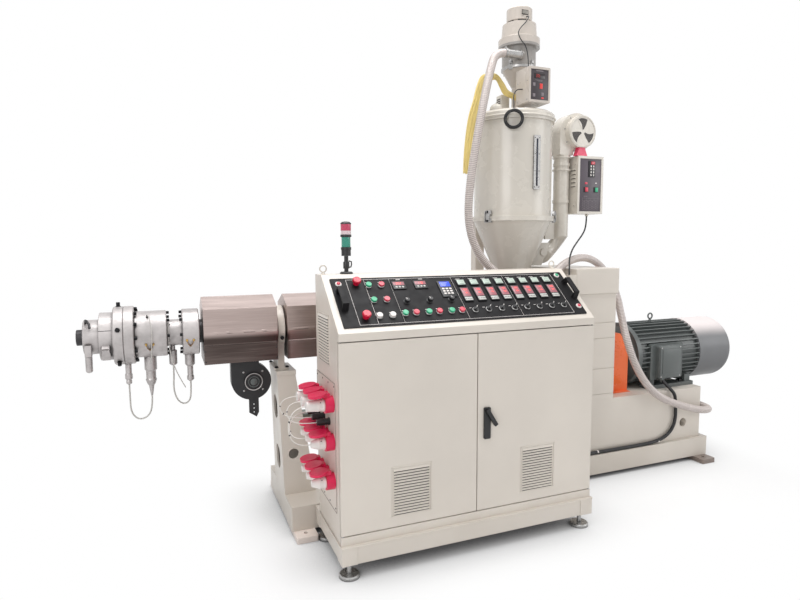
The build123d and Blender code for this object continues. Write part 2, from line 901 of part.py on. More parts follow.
# Clamp ring: two halves drawn together by a toggle latch on the operator's side
clamp_ring = disc(clamp_start, clamp_length, clamp_radius, 2)
latch_turn = math.radians(latch_angle)
latch_plane = Plane(
    origin=(
        clamp_start + clamp_length / 2,
        -(clamp_radius - latch_rise) * math.cos(latch_turn),
        axis_height + (clamp_radius - latch_rise) * math.sin(latch_turn),
    ),
    x_dir=(1, 0, 0),
    z_dir=(0, -math.cos(latch_turn), math.sin(latch_turn)),
)
with BuildPart() as die_clamp:
    add(clamp_ring.part)
    with BuildSketch(Plane.YZ.offset(clamp_start)):
        for side in (0, 180):
            with Locations(Location((0, axis_height), side - clamp_split_angle)):
                with Locations((clamp_radius, 0)):
                    Rectangle(2 * clamp_split_depth, clamp_split)
    extrude(amount=clamp_length, mode=Mode.SUBTRACT)
    with BuildSketch(latch_plane):
        RectangleRounded(latch_width, latch_length, 4)
    extrude(amount=2 * latch_rise)
    with BuildSketch(latch_plane.offset(2 * latch_rise)):
        with Locations((0, latch_length / 4)):
            RectangleRounded(latch_width - 4, latch_length / 3, 3)
    extrude(amount=latch_rise / 3)
keep(die_clamp, "die_clamp")

# Front ring, bored for the outlet, with the air valve that hangs on its operator's side
front_ring = turned_on_screw_axis(
    [
        (front_start, outlet_radius),
        (front_start, front_radius - 3),
        (front_start + 3, front_radius),
        (clamp_start, front_radius),
        (clamp_start, outlet_radius),
    ]
)
valve_x = front_start + front_length / 3
valve_z = axis_height - valve_drop
with BuildPart() as die_front:
    add(front_ring.part)
    with BuildSketch(Plane.XY.offset(valve_z - valve_height / 2)):
        with Locations((valve_x, valve_centre_y)):
            RectangleRounded(valve_width, valve_depth, 3)
    extrude(amount=valve_height)
    with BuildSketch(Plane.XY.offset(valve_z - valve_height / 2)):
        with Locations((valve_x, valve_centre_y)):
            Circle(valve_rod_radius)
    extrude(amount=-valve_rod_length)
    fillet(die_front.faces().sort_by(Axis.Z)[0].edges(), radius=valve_rod_radius - 4)
keep(die_front, "die_front")

# Bushing and, standing inside its bore, the mandrel that makes the pipe hollow
with BuildPart() as die_bushing:
    with BuildSketch(Plane.XZ):
        with BuildLine():
            Polyline(
                (bushing_start, axis_height + outlet_radius),
                (bushing_start, axis_height + bushing_radius - 2),
                (bushing_start + 2, axis_height + bushing_radius),
                (front_start, axis_height + bushing_radius),
                (front_start, axis_height + outlet_radius),
                close=True,
            )
        make_face()
        with Locations(((bushing_start + clamp_start) / 2, axis_height + mandrel_radius / 2)):
            Rectangle(clamp_start - bushing_start, mandrel_radius)
    revolve(axis=screw_axis)
keep(die_bushing, "die_bushing")

# Connectors: plugs that hang under the heated rings, each with its outline as (radius, drop)
long_plug = ((15, 0), (15, 50), (18, 56), (18, 78), (12, 84), (14, 90), (14, 102), (5, 109))
square_plug = ((30, 0), (30, 66), (24, 74), (24, 112), (27, 120), (20, 142), (13, 152), (5, 204))
short_plug = ((12, 0), (12, 22), (20, 26), (20, 96), (12, 104), (5, 104))
tail_plug = ((25, 0), (25, 52), (20, 58), (15, 64), (15, 112), (18, 118), (18, 134), (5, 146))
hanging = (
    (-2232.0, die_flange_radius, long_plug),
    (-2127.0, body_radius, square_plug),
    (-2017.0, neck_radius, short_plug),
    (-1935.0, flange_radius, tail_plug),
)


def hanging_plug(centre_x, host_radius, outline):
    """A turned plug seated against the underside of the ring that it hangs from."""
    seat = axis_height - host_radius - connector_gap
    first_radius = outline[0][0]
    points = [(radius, seat - drop) for radius, drop in outline]
    points = [(0, seat + connector_seat), (first_radius, seat + connector_seat)] + points
    points.append((0, points[-1][1]))
    plug = turned_upright(points, centre_x)
    with BuildPart() as seated:
        add(plug.part)
        with BuildSketch(Plane.YZ.offset(centre_x - first_radius - 1)):
            with Locations((0, axis_height)):
                Circle(host_radius + connector_gap)
        extrude(amount=2 * first_radius + 2, mode=Mode.SUBTRACT)
    return seated


plugs = [hanging_plug(*place) for place in hanging]
with BuildPart() as die_connectors:
    for plug in plugs:
        add(plug.part)
keep(die_connectors, "die_connectors")

# Feed throat: the water-cooled casting between barrel and gearbox, open to the hopper
throat_end = hopper_x + throat_length / 2
with BuildPart() as feed_throat:
    with BuildSketch(Plane.XY.offset(throat_bottom)):
        with Locations((hopper_x, 0)):
            RectangleRounded(throat_length, throat_width, throat_corner)
    extrude(amount=throat_top - throat_bottom)
    with BuildSketch(Plane.YZ.offset(throat_end)):
        with Locations((0, axis_height)):
            Circle(throat_neck)
    extrude(amount=gearbox_start - throat_end)
    with BuildSketch(Plane.YZ.offset(gearbox_start - neck_flange_thickness)):
        with Locations((0, axis_height)):
            Circle(neck_flange)
    extrude(amount=neck_flange_thickness)
    with BuildSketch(Plane.XY.offset(axis_height)):
        with Locations((hopper_x, 0)):
            Circle(throat_bore)
    extrude(amount=throat_top - axis_height, mode=Mode.SUBTRACT)
keep(feed_throat, "feed_throat")

# Hopper stand: a plate on the throat with two rear posts up to the drum's flange
stand_post_y = stand_front + stand_depth - stand_post / 2
with BuildPart() as hopper_stand:
    with BuildSketch(Plane.XY.offset(throat_top)):
        with Locations(((stand_left + stand_right) / 2, stand_front + stand_depth / 2)):
            Rectangle(stand_right - stand_left, stand_depth)
        with Locations((hopper_x, 0)):
            Circle(throat_bore, mode=Mode.SUBTRACT)
    extrude(amount=stand_plate)
    with BuildSketch(Plane.XY.offset(stand_top)):
        with Locations(((stand_left + stand_right) / 2, stand_post_y)):
            with GridLocations(stand_right - stand_left - stand_post, 0, 2, 1):
                Rectangle(stand_post, stand_post)
    extrude(amount=cone_rim_height - stand_top)
    for height, radius in ((cone_foot_height, cone_foot_radius), (cone_rim_height, hopper_radius)):
        with BuildSketch(Plane.XY.offset(height)):
            with Locations((hopper_x, 0)):
                Circle(radius + connector_gap)
    loft(mode=Mode.SUBTRACT)
keep(hopper_stand, "hopper_stand")

# Hopper cone with its gate neck and bolted foot plate: one welded shell
cone_bottom_inner = cone_foot_radius - hopper_wall
with BuildPart() as hopper_cone:
    with BuildSketch(Plane.XZ):
        with BuildLine():
            Polyline(
                (hopper_x + cone_bottom_inner, stand_top),
                (hopper_x + cone_foot_radius, stand_top),
                (hopper_x + cone_foot_radius, cone_foot_height),
                (hopper_x + hopper_radius, cone_rim_height),
                (hopper_x + hopper_flange_radius, cone_rim_height),
                (hopper_x + hopper_flange_radius, hopper_flange_height),
                (hopper_x + hopper_radius - hopper_wall, hopper_flange_height),
                (hopper_x + cone_bottom_inner, cone_foot_height),
                close=True,
            )
        make_face()
    revolve(axis=Axis((hopper_x, 0, 0), (0, 0, 1)))
    with BuildSketch(Plane.XY.offset(stand_top)):
        with Locations((hopper_x, 0)):
            RectangleRounded(gate_length, gate_width, 10)
            Circle(cone_bottom_inner, mode=Mode.SUBTRACT)
    extrude(amount=gate_plate)
keep(hopper_cone, "hopper_cone")

drum = turned_upright(
    [
        (hopper_radius - hopper_wall, hopper_flange_height),
        (hopper_flange_radius, hopper_flange_height),
        (hopper_flange_radius, hopper_flange_height + hopper_flange_thickness),
        (hopper_radius, hopper_flange_height + hopper_flange_thickness),
        (hopper_radius, hopper_top),
        (hopper_radius - hopper_wall, hopper_top),
    ],
    hopper_x,
)
keep(drum, "hopper_drum")

# Lid: a pressed dish with a rolled rim
with BuildPart() as hopper_lid:
    with BuildSketch(Plane.XZ):
        with BuildLine():
            Polyline(
                (hopper_x, hopper_top),
                (hopper_x + lid_radius - lid_roll, hopper_top),
                (hopper_x + lid_radius - lid_roll, lid_top - lid_crown),
                (hopper_x + lid_radius - 3 * lid_roll, lid_top),
                (hopper_x, lid_top),
                close=True,
            )
        make_face()
        with Locations((hopper_x + lid_radius - lid_roll, hopper_top + 3 * lid_roll)):
            Circle(lid_roll)
    revolve(axis=Axis((hopper_x, 0, 0), (0, 0, 1)))
keep(hopper_lid, "hopper_lid")

# Sight glass: a bright frame with its long slot, on the operator's side of the drum
glass_bottom = hopper_flange_height + glass_lift
with BuildPart() as sight_glass:
    with BuildSketch(Plane.XZ.offset(hopper_radius + connector_gap)):
        with Locations((hopper_x + glass_angle_x, glass_bottom + glass_length / 2)):
            RectangleRounded(glass_width, glass_length, 5)
    extrude(amount=glass_thickness)
    with BuildSketch(Plane.XZ.offset(hopper_radius + connector_gap + glass_thickness)):
        with Locations((hopper_x + glass_angle_x, glass_bottom + glass_length / 2)):
            SlotOverall(glass_length - 3 * glass_slot, glass_slot, rotation=90)
    extrude(amount=-glass_thickness / 2, mode=Mode.SUBTRACT)
keep(sight_glass, "sight_glass")

# Vacuum loader: neck, cone and drum in one piece, with the inlet pipe of its hose
loader_shell = turned_upright(
    [
        (0, lid_top),
        (loader_neck_radius + loader_neck_flange, lid_top),
        (loader_neck_radius + loader_neck_flange, lid_top + gate_plate),
        (loader_neck_radius, lid_top + gate_plate),
        (loader_neck_radius, loader_cone_foot),
        (loader_radius, loader_cone_top),
        (loader_radius, loader_rim_bottom),
        (0, loader_rim_bottom),
    ],
    loader_x,
)
inlet_z = loader_cone_top + inlet_lift
with BuildPart() as loader_body:
    add(loader_shell.part)
    with BuildSketch(Plane.YZ.offset(inlet_start)):
        with Locations((inlet_y, inlet_z)):
            Circle(inlet_radius)
    extrude(amount=inlet_end - inlet_start)
keep(loader_body, "loader_body")

tier_bottom = loader_rim_bottom + loader_rim_height
tier_top = tier_bottom + loader_tier_height
loader_top = tier_top + loader_cap_height + 18
loader_head = turned_upright(
    [
        (0, loader_rim_bottom),
        (loader_rim_radius, loader_rim_bottom),
        (loader_rim_radius, tier_bottom - 8),
        (loader_tier_radius, tier_bottom),
        (loader_tier_radius - 6, tier_top - 8),
        (loader_cap_radius - 6, tier_top),
        (loader_cap_radius - 6, tier_top + 8),
        (loader_cap_radius, tier_top + 10),
        (loader_cap_radius, loader_top - 16),
        (loader_cap_radius - 20, loader_top),
        (0, loader_top),
    ],
    loader_x,
)
keep(loader_head, "loader_head")

# Loader's control box, held on the neck by a short arm
loader_box_x = loader_box_left + loader_box_width / 2
loader_box_back = loader_box_front + loader_box_depth
loader_box_bottom = lid_top + loader_box_lift
loader_box_z = loader_box_bottom + loader_box_height / 2
with BuildPart() as loader_box:
    with BuildSketch(Plane.XZ.offset(-loader_box_front)):
        with Locations((loader_box_x, loader_box_z)):
            RectangleRounded(loader_box_width, loader_box_height, 5)
    extrude(amount=-loader_box_depth)
    with BuildSketch(Plane.XZ.offset(-loader_box_front)):
        with Locations((loader_box_x, loader_box_z)):
            Rectangle(loader_box_width - 24, loader_box_height - 28)
    extrude(amount=-panel_thickness, mode=Mode.SUBTRACT)
    with BuildSketch(Plane.XZ.offset(-loader_box_back)):
        with Locations((loader_x, loader_box_bottom + loader_arm_height / 2 + 20)):
            Rectangle(loader_arm_width, loader_arm_height)
    extrude(amount=loader_box_back)
    with BuildSketch(Plane.XY.offset(loader_box_bottom)):
        with Locations((loader_x, 0)):
            Circle(loader_neck_radius + connector_gap)
    extrude(amount=loader_box_height, mode=Mode.SUBTRACT)
keep(loader_box, "loader_box")

# Hot-air duct: down from the blower, round a bend and into an inlet box on the cone
duct_end_z = cone_foot_height + duct_end_lift
duct_corner_z = duct_end_z + duct_bend
duct_bend_x = duct_x - duct_bend
cone_slope = (hopper_radius - cone_foot_radius) / (cone_rim_height - cone_foot_height)
inlet_foot_x = hopper_x + cone_foot_radius + cone_slope * duct_end_foot
inlet_top_x = hopper_x + cone_foot_radius + cone_slope * duct_end_top
inlet_foot_z = cone_foot_height + duct_end_foot
inlet_top_z = cone_foot_height + duct_end_top
duct_tab_x = hopper_x + hopper_radius + hopper_flange / 2
duct_tab_right = duct_x - duct_radius / 2
with BuildPart() as dryer_duct:
    with BuildLine() as duct_path:
        Line((duct_x, 0, duct_mouth), (duct_x, 0, duct_corner_z))
        RadiusArc((duct_x, 0, duct_corner_z), (duct_bend_x, 0, duct_end_z), -duct_bend)
        Line((duct_bend_x, 0, duct_end_z), (inlet_foot_x, 0, duct_end_z))
    with BuildSketch(Plane.XY.offset(duct_mouth)):
        with Locations((duct_x, 0)):
            Circle(duct_radius)
    sweep(path=duct_path.wire())
    for flange_z in duct_flanges:
        with BuildSketch(Plane.XY.offset(flange_z)):
            with Locations((duct_x, 0)):
                Circle(duct_flange_radius)
        extrude(amount=duct_flange_thickness)
    with BuildSketch(Plane.XY.offset(duct_mouth)):
        with Locations((duct_x, 0)):
            Circle(duct_flange_radius - 4)
    extrude(amount=gasket_height)
    with BuildSketch(Plane.XZ.offset(duct_end_box / 2)):
        with BuildLine():
            Polyline(
                (inlet_foot_x - hopper_flange, inlet_foot_z),
                (inlet_foot_x + duct_end_reach, inlet_foot_z),
                (inlet_top_x + duct_end_reach, inlet_top_z),
                (inlet_top_x - hopper_flange, inlet_top_z),
                close=True,
            )
        make_face()
    extrude(amount=-duct_end_box)
    with BuildSketch(Plane.XZ.offset(duct_end_box / 2)):
        with Locations((duct_plug_x, cone_foot_height + duct_plug_lift)):
            Circle(duct_plug_radius)
    extrude(amount=gasket_height)
    with BuildSketch(Plane.XZ.offset(duct_tab_width / 2)):
        with Locations(((duct_tab_x + duct_tab_right) / 2, cone_rim_height - duct_tab_height / 2)):
            Rectangle(duct_tab_right - duct_tab_x, duct_tab_height - 2 * connector_gap)
    extrude(amount=-duct_tab_width)
    for height, radius in ((cone_foot_height, cone_foot_radius), (cone_rim_height, hopper_radius)):
        with BuildSketch(Plane.XY.offset(height)):
            with Locations((hopper_x, 0)):
                Circle(radius + connector_gap)
    loft(mode=Mode.SUBTRACT)
keep(dryer_duct, "dryer_duct")

# Dryer's control box, held to the duct by two clamp bands, with a gland underneath
dryer_box_x = dryer_box_left + dryer_box_width / 2
dryer_box_z = dryer_box_bottom + dryer_box_height / 2
dryer_box_top = dryer_box_bottom + dryer_box_height
dryer_gland = (590.0, -60.0)
with BuildPart() as dryer_box:
    with BuildSketch(Plane.XZ.offset(-dryer_box_front)):
        with Locations((dryer_box_x, dryer_box_z)):
            RectangleRounded(dryer_box_width, dryer_box_height, 4)
    extrude(amount=-dryer_box_depth)
    with BuildSketch(Plane.XZ.offset(-dryer_box_front)):
        with Locations((dryer_box_x, dryer_box_z)):
            Rectangle(
                dryer_box_width - 2 * dryer_box_frame, dryer_box_height - 2 * dryer_box_frame
            )
    extrude(amount=-dryer_box_recess, mode=Mode.SUBTRACT)
    for band_z in dryer_bands:
        with BuildSketch(Plane.XY.offset(band_z)):
            with Locations((duct_x, 0)):
                Circle(duct_radius + connector_gap + band_sheet)
            with Locations(((duct_x + dryer_box_left) / 2, 0)):
                Rectangle(dryer_box_left - duct_x, band_width)
            with Locations((duct_x, 0)):
                Circle(duct_radius + connector_gap, mode=Mode.SUBTRACT)
        extrude(amount=band_width)
    with BuildSketch(Plane.XY.offset(dryer_box_bottom)):
        with Locations(dryer_gland):
            Circle(dryer_cable_diameter)
    extrude(amount=-gland_length)
keep(dryer_box, "dryer_box")

# Blower: a scroll over the duct, its intake ring and blade guard, motor and foot
blower_scroll = scroll_housing(
    blower_x,
    blower_z,
    blower_radius,
    blower_growth,
    blower_outlet,
    duct_mouth + gasket_height,
    blower_front,
    blower_depth,
)
ring_front = blower_front - blower_ring_depth
with BuildPart() as dryer_blower:
    add(blower_scroll.part)
    with BuildSketch(Plane.XZ.offset(-blower_front)):
        with Locations((blower_x, blower_z)):
            Circle(blower_ring_radius - blower_ring_wall)
    extrude(amount=-blower_depth / 3, mode=Mode.SUBTRACT)
    with BuildSketch(Plane.XZ.offset(-blower_front)):
        with Locations((blower_x, blower_z)):
            Circle(blower_ring_radius)
            Circle(blower_ring_radius - blower_ring_wall, mode=Mode.SUBTRACT)
    extrude(amount=blower_ring_depth)
    with BuildSketch(Plane.XZ.offset(-ring_front)):
        with Locations((blower_x, blower_z)):
            Circle(blower_ring_radius - 2)
        for turn in range(3):
            opening_middle = 90 + 120 * turn
            start_angle = opening_middle - guard_hole_angle / 2
            with BuildLine():
                rim = CenterArc((blower_x, blower_z), guard_hole_outer, start_angle, guard_hole_angle)
                hub = CenterArc((blower_x, blower_z), guard_hole_inner, start_angle, guard_hole_angle)
                Line(rim @ 0, hub @ 0)
                Line(rim @ 1, hub @ 1)
            make_face(mode=Mode.SUBTRACT)
    extrude(amount=-panel_thickness)
    with BuildSketch(Plane.XZ.offset(-blower_front - blower_depth)):
        with Locations((blower_x, blower_z)):
            Circle(blower_motor_radius)
    extrude(amount=-blower_motor_length)
    with BuildSketch(Plane.XY.offset(dryer_box_top)):
        with Locations((blower_x, blower_front - blower_ring_depth / 2)):
            Rectangle(collar_red_width, collar_red_depth / 2)
    with BuildSketch(Plane.XY.offset(blower_z - blower_ring_radius + 4)):
        with Locations((blower_x, blower_front - blower_ring_depth / 2)):
            Rectangle(collar_red_width / 2, collar_red_depth / 2)
    loft()
keep(dryer_blower, "dryer_blower")

# Cabinet plinth with its corner blocks, and the rail under the doors with the lower pivots
plinth_middle = (cabinet_middle, cabinet_front + plinth_depth / 2)
with BuildPart() as cabinet_plinth:
    with BuildSketch(Plane.XY.offset(plinth_bottom)):
        with Locations(plinth_middle):
            Rectangle(cabinet_width - 2 * corner_proud, plinth_depth - 2 * corner_proud)
            with GridLocations(cabinet_width - corner_block, plinth_depth - corner_block, 2, 2):
                RectangleRounded(corner_block, corner_block, 3)
    extrude(amount=plinth_height)
    with BuildSketch(Plane.XY.offset(cabinet_floor)):
        with Locations((cabinet_middle, door_face + door_thickness / 2)):
            Rectangle(cabinet_width - 2 * body_inset, door_thickness)
    extrude(amount=rail_top - cabinet_floor)
keep(cabinet_plinth, "cabinet_plinth")

# Levelling feet: a disc, its stud and lock nut, under each corner
foot_pitch = (cabinet_width - 2 * levelling_inset, plinth_depth - 2 * levelling_inset)
with BuildPart() as levelling_feet:
    with BuildSketch():
        with Locations(plinth_middle):
            with GridLocations(*foot_pitch, 2, 2):
                Circle(levelling_radius)
    extrude(amount=levelling_disc)
    chamfer(levelling_feet.faces().sort_by(Axis.Z)[-4:].edges(), length=5)
    with BuildSketch(Plane.XY.offset(levelling_disc)):
        with Locations(plinth_middle):
            with GridLocations(*foot_pitch, 2, 2):
                Circle(levelling_stud)
    extrude(amount=plinth_bottom - levelling_disc)
    with BuildSketch(Plane.XY.offset(plinth_bottom - levelling_nut_height)):
        with Locations(plinth_middle):
            with GridLocations(*foot_pitch, 2, 2):
                RegularPolygon(levelling_nut, 6)
    extrude(amount=levelling_nut_height)
keep(levelling_feet, "levelling_feet")


def louvre_bank():
    """Pressed hoods of a louvre, facing -Y, centred on the origin of the XZ plane."""
    half_height = louvre_pitch * louvre_slats / 2
    with BuildPart() as bank:
        with BuildSketch(Plane.YZ.offset(-louvre_width / 2)):
            for slat in range(louvre_slats):
                foot = louvre_pitch * slat - half_height
                with BuildLine():
                    Polyline(
                        (0, foot),
                        (-louvre_depth, foot),
                        (-louvre_depth * 0.8, foot + louvre_rise / 3),
                        (0, foot + louvre_rise),
                        close=True,
                    )
                make_face()
        extrude(amount=louvre_width)
    return bank.part


louvre = louvre_bank()

# Cabinet walls: the side sheets have the sloped corner of the desk
side_outline = [
    (wall_front, cabinet_floor),
    (wall_front, lip_bottom),
    (door_face, lip_bottom),
    (door_face, lip_top),
    (desk_back, cabinet_top_height),
    (body_back, cabinet_top_height),
    (body_back, cabinet_floor),
]
with BuildPart() as cabinet_side_left:
    with BuildSketch(Plane.YZ.offset(side_left_x)):
        with BuildLine():
            Polyline(*side_outline, close=True)
        make_face()
    extrude(amount=sheet)
    with BuildSketch(Plane.YZ.offset(side_left_x)):
        with Locations((socket_plate_y, socket_plate_bottom + socket_plate_height / 2)):
            Rectangle(socket_plate_width, socket_plate_height)
    extrude(amount=-socket_plate)
    add(louvre.moved(Location((side_left_x, side_louvre_y, side_louvre_height), (0, 0, -90))))
keep(cabinet_side_left, "cabinet_side_left")

with BuildPart() as cabinet_side_right:
    with BuildSketch(Plane.YZ.offset(side_right_x)):
        with BuildLine():
            Polyline(*side_outline, close=True)
        make_face()
    extrude(amount=sheet)
keep(cabinet_side_right, "cabinet_side_right")

# Back sheet, with the gland through which the motor's cable comes in
inner_left = side_left_x + sheet
inner_width = side_right_x - inner_left
motor_gland = (-30.0, 232.0)
with BuildPart() as cabinet_back:
    with BuildSketch(Plane.XY.offset(cabinet_floor)):
        with Locations((cabinet_middle, body_back - sheet / 2)):
            Rectangle(inner_width, sheet)
    extrude(amount=cabinet_top_height - cabinet_floor)
    with BuildSketch(Plane.XZ.offset(-body_back)):
        with Locations(motor_gland):
            Circle(gland_radius)
    extrude(amount=-gland_length)
keep(cabinet_back, "cabinet_back")

# Lip, desk and roof: one folded sheet between the sides
slope_rise = cabinet_top_height - lip_top
slope = math.atan2(slope_rise, desk_run)
roof_section = [
    (door_face, lip_bottom),
    (door_face, lip_top),
    (desk_back, cabinet_top_height),
    (body_back - sheet, cabinet_top_height),
    (body_back - sheet, cabinet_top_height - sheet),
    (desk_back + sheet * math.tan(slope / 2), cabinet_top_height - sheet),
    (door_face + door_thickness, lip_top - sheet * 0.4),
    (door_face + door_thickness, lip_bottom),
]
with BuildPart() as cabinet_roof:
    with BuildSketch(Plane.YZ.offset(inner_left)):
        with BuildLine():
            Polyline(*roof_section, close=True)
        make_face()
    extrude(amount=inner_width)
keep(cabinet_roof, "cabinet_roof")

# Control panel: the dark plate on the slope, with a grab handle at each end
slope_up = (0, math.cos(slope), math.sin(slope))
slope_out = (0, -math.sin(slope), math.cos(slope))
desk_origin = (cabinet_left, door_face, lip_top)
desk_plane = Plane(origin=desk_origin, x_dir=(1, 0, 0), z_dir=slope_out)
panel_face = desk_plane.offset(panel_thickness)
with BuildPart() as control_panel:
    with BuildSketch(desk_plane):
        with Locations(((panel_left + panel_right) / 2, (panel_low + panel_high) / 2)):
            RectangleRounded(panel_right - panel_left, panel_high - panel_low, panel_corner)
    extrude(amount=panel_thickness)
    for grab_x, grab_middle in grab_places:
        grab_side = Plane(
            origin=(cabinet_left + grab_x - grab_width / 2, door_face, lip_top),
            x_dir=slope_up,
            z_dir=(1, 0, 0),
        )
        with BuildSketch(grab_side):
            with Locations((grab_middle, panel_thickness + grab_height / 2)):
                Trapezoid(grab_length, grab_height, 75)
            with Locations((grab_middle, panel_thickness + (grab_height - grab_bar) / 2)):
                Rectangle(grab_length - 4 * grab_bar, grab_height - grab_bar, mode=Mode.SUBTRACT)
        extrude(amount=grab_width)
keep(control_panel, "control_panel")

# Instruments: eight tall controllers, a small meter above each, two displays and a keypad
controller_span = controller_pitch * (controller_count - 1)
controller_middle = controller_first + controller_span / 2
with BuildPart() as temperature_controllers:
    with BuildSketch(panel_face):
        with Locations((controller_middle, controller_centre)):
            with GridLocations(controller_pitch, 0, controller_count, 1):
                Rectangle(controller_width, controller_height)
        with Locations((controller_middle, meter_centre)):
            with GridLocations(controller_pitch, 0, controller_count, 1):
                Rectangle(controller_width, meter_height)
        for display_x in display_places:
            with Locations((display_x, display_centre)):
                Rectangle(display_width, display_height)
        with Locations(keypad_centre):
            RectangleRounded(keypad_width, keypad_height, 4)
    extrude(amount=controller_proud)
keep(temperature_controllers, "temperature_controllers")

# Buttons: mushroom stops, start buttons, selector knobs and pilot lamps, all on the panel
pair_places = [
    (row_first + row_pitch * group + row_pair * turn, row_height)
    for group in range(row_count)
    for turn in range(2)
]
selector_places = [
    (selector_first + selector_pitch * turn, row_height) for turn in range(controller_count)
]
with BuildPart() as push_buttons:
    with BuildSketch(panel_face):
        for place in stop_places:
            with Locations(place):
                Circle(stop_radius * 0.7)
    extrude(amount=stop_height * 0.5)
    with BuildSketch(panel_face.offset(stop_height * 0.5)):
        for place in stop_places:
            with Locations(place):
                Circle(stop_radius)
    extrude(amount=stop_height * 0.5)
    with BuildSketch(panel_face):
        with Locations(start_grid_centre):
            with GridLocations(*start_grid_pitch, 2, 3):
                Circle(button_radius)
        for place in pair_places + list(pilot_places):
            with Locations(place):
                Circle(button_radius)
    extrude(amount=button_height)
    with BuildSketch(panel_face):
        for knob_x in knob_places:
            with Locations((knob_x, knob_row)):
                Circle(knob_radius)
        for place in selector_places:
            with Locations(place):
                Circle(selector_radius)
    extrude(amount=knob_height)
keep(push_buttons, "push_buttons")


# Doors: shallow pans that turn on pivots at their outer edges
def door(outer_x, inner_x, side, louvre_x):
    """A door pan; side is 1 when it extends towards +X from its pivot."""
    width = abs(inner_x - outer_x)
    middle = (inner_x + outer_x) / 2
    pivot_x = outer_x + side * pivot_inset
    pocket_width = width - door_hinge_rim - door_rim
    pocket_x = middle + side * (door_hinge_rim - door_rim) / 2
    back_y = door_face + door_thickness
    with BuildPart() as pan:
        with BuildSketch(Plane.XY.offset(door_bottom)):
            with Locations((middle, door_face + door_thickness / 2)):
                Rectangle(width, door_thickness)
        extrude(amount=door_top - door_bottom)
        outer_edges = pan.edges().filter_by(Axis.Z).sort_by(Axis.X)
        outer_edges = outer_edges[:2] if side > 0 else outer_edges[2:]
        front_edge = outer_edges.sort_by(Axis.Y)[0]
        back_edge = outer_edges.sort_by(Axis.Y)[1]
        fillet(front_edge, radius=door_front_round)
        fillet(back_edge, radius=door_back_round)
        with BuildSketch(Plane.XY.offset(door_bottom + door_edge_rim)):
            with Locations((pocket_x, (door_face + door_sheet + back_y + door_sheet) / 2)):
                Rectangle(pocket_width, door_thickness)
        extrude(amount=door_top - door_bottom - 2 * door_edge_rim, mode=Mode.SUBTRACT)
        for hole_bottom in (door_bottom, door_top - pivot_depth):
            with BuildSketch(Plane.XY.offset(hole_bottom)):
                with Locations((pivot_x, pivot_y)):
                    Circle(pivot_radius + pivot_clearance)
            extrude(amount=pivot_depth, mode=Mode.SUBTRACT)
        add(louvre.moved(Location((louvre_x, door_face, door_louvre_centre))))
    return pan


pivot_y = door_face + pivot_inset
door_left_outer = cabinet_left + body_inset
door_right_outer = cabinet_right - body_inset
door_left_inner = cabinet_middle - door_gap / 2
door_right_inner = cabinet_middle + door_gap / 2
left_louvre_x = cabinet_left + door_louvre_left
right_louvre_x = cabinet_right - door_louvre_right
keep(door(door_left_outer, door_left_inner, 1, left_louvre_x), "door_left")
keep(door(door_right_outer, door_right_inner, -1, right_louvre_x), "door_right")

# Pivots: pins with a shoulder, in the rail below and the lip above
pivot_reach = door_gap + pivot_depth - 2
with BuildPart() as door_pivots:
    for pivot_x in (door_left_outer + pivot_inset, door_right_outer - pivot_inset):
        with BuildSketch(Plane.XY.offset(rail_top)):
            with Locations((pivot_x, pivot_y)):
                Circle(pivot_radius + pivot_shoulder)
        extrude(amount=door_gap - pivot_clearance)
        for start, reach in ((rail_top, pivot_reach), (lip_bottom, -pivot_reach)):
            with BuildSketch(Plane.XY.offset(start)):
                with Locations((pivot_x, pivot_y)):
                    Circle(pivot_radius)
            extrude(amount=reach)
keep(door_pivots, "door_pivots")

# Handle: an upright swing handle on the right-hand door, with its lever turned out
lever_top = handle_height + handle_length / 2 - handle_width / 2
with BuildPart() as door_handle:
    with BuildSketch(Plane.XZ.offset(-door_face)):
        with Locations((handle_x, handle_height)):
            RectangleRounded(handle_width, handle_length, 6)
    extrude(amount=handle_base)
    with BuildSketch(Plane.XZ.offset(handle_base - door_face)):
        with Locations(Location((handle_x, lever_top), handle_tilt)):
            with Locations((0, -handle_lever_length / 2 + handle_lever / 2)):
                RectangleRounded(handle_lever, handle_lever_length, 4)
    extrude(amount=handle_base + 5)
    fillet(door_handle.faces().sort_by(Axis.Y)[0].edges(), radius=3)
keep(door_handle, "door_handle")

# Sockets: red round housings with a hinged flap, three rows of three on the cabinet's side
plate_face = side_left_x - socket_plate
socket_face = plate_face - socket_depth
socket_places = [(y, z) for z in socket_rows for y in socket_columns]
with BuildPart() as power_sockets:
    with BuildSketch(Plane.YZ.offset(plate_face)):
        for place in socket_places:
            with Locations(place):
                Circle(socket_radius)
    extrude(amount=-socket_depth)
    with BuildSketch(Plane.YZ.offset(socket_face + flap_hinge_depth)):
        for column_y, row_z in socket_places:
            with Locations((column_y, row_z + socket_radius + flap_hinge_rise)):
                Rectangle(flap_hinge_width, flap_hinge_height)
    extrude(amount=-flap_hinge_depth - flap_thickness / 2)
    for row_z in socket_rows:
        flap_plane = Plane(
            origin=(socket_face + flap_thickness, 0, row_z + flap_lift),
            x_dir=(1, 0, flap_tilt),
            z_dir=(-flap_tilt, 0, 1),
        )
        with BuildSketch(flap_plane):
            for column_y in socket_columns:
                with Locations((-flap_radius, column_y)):
                    Circle(flap_radius)
        extrude(amount=flap_thickness)
keep(power_sockets, "power_sockets")

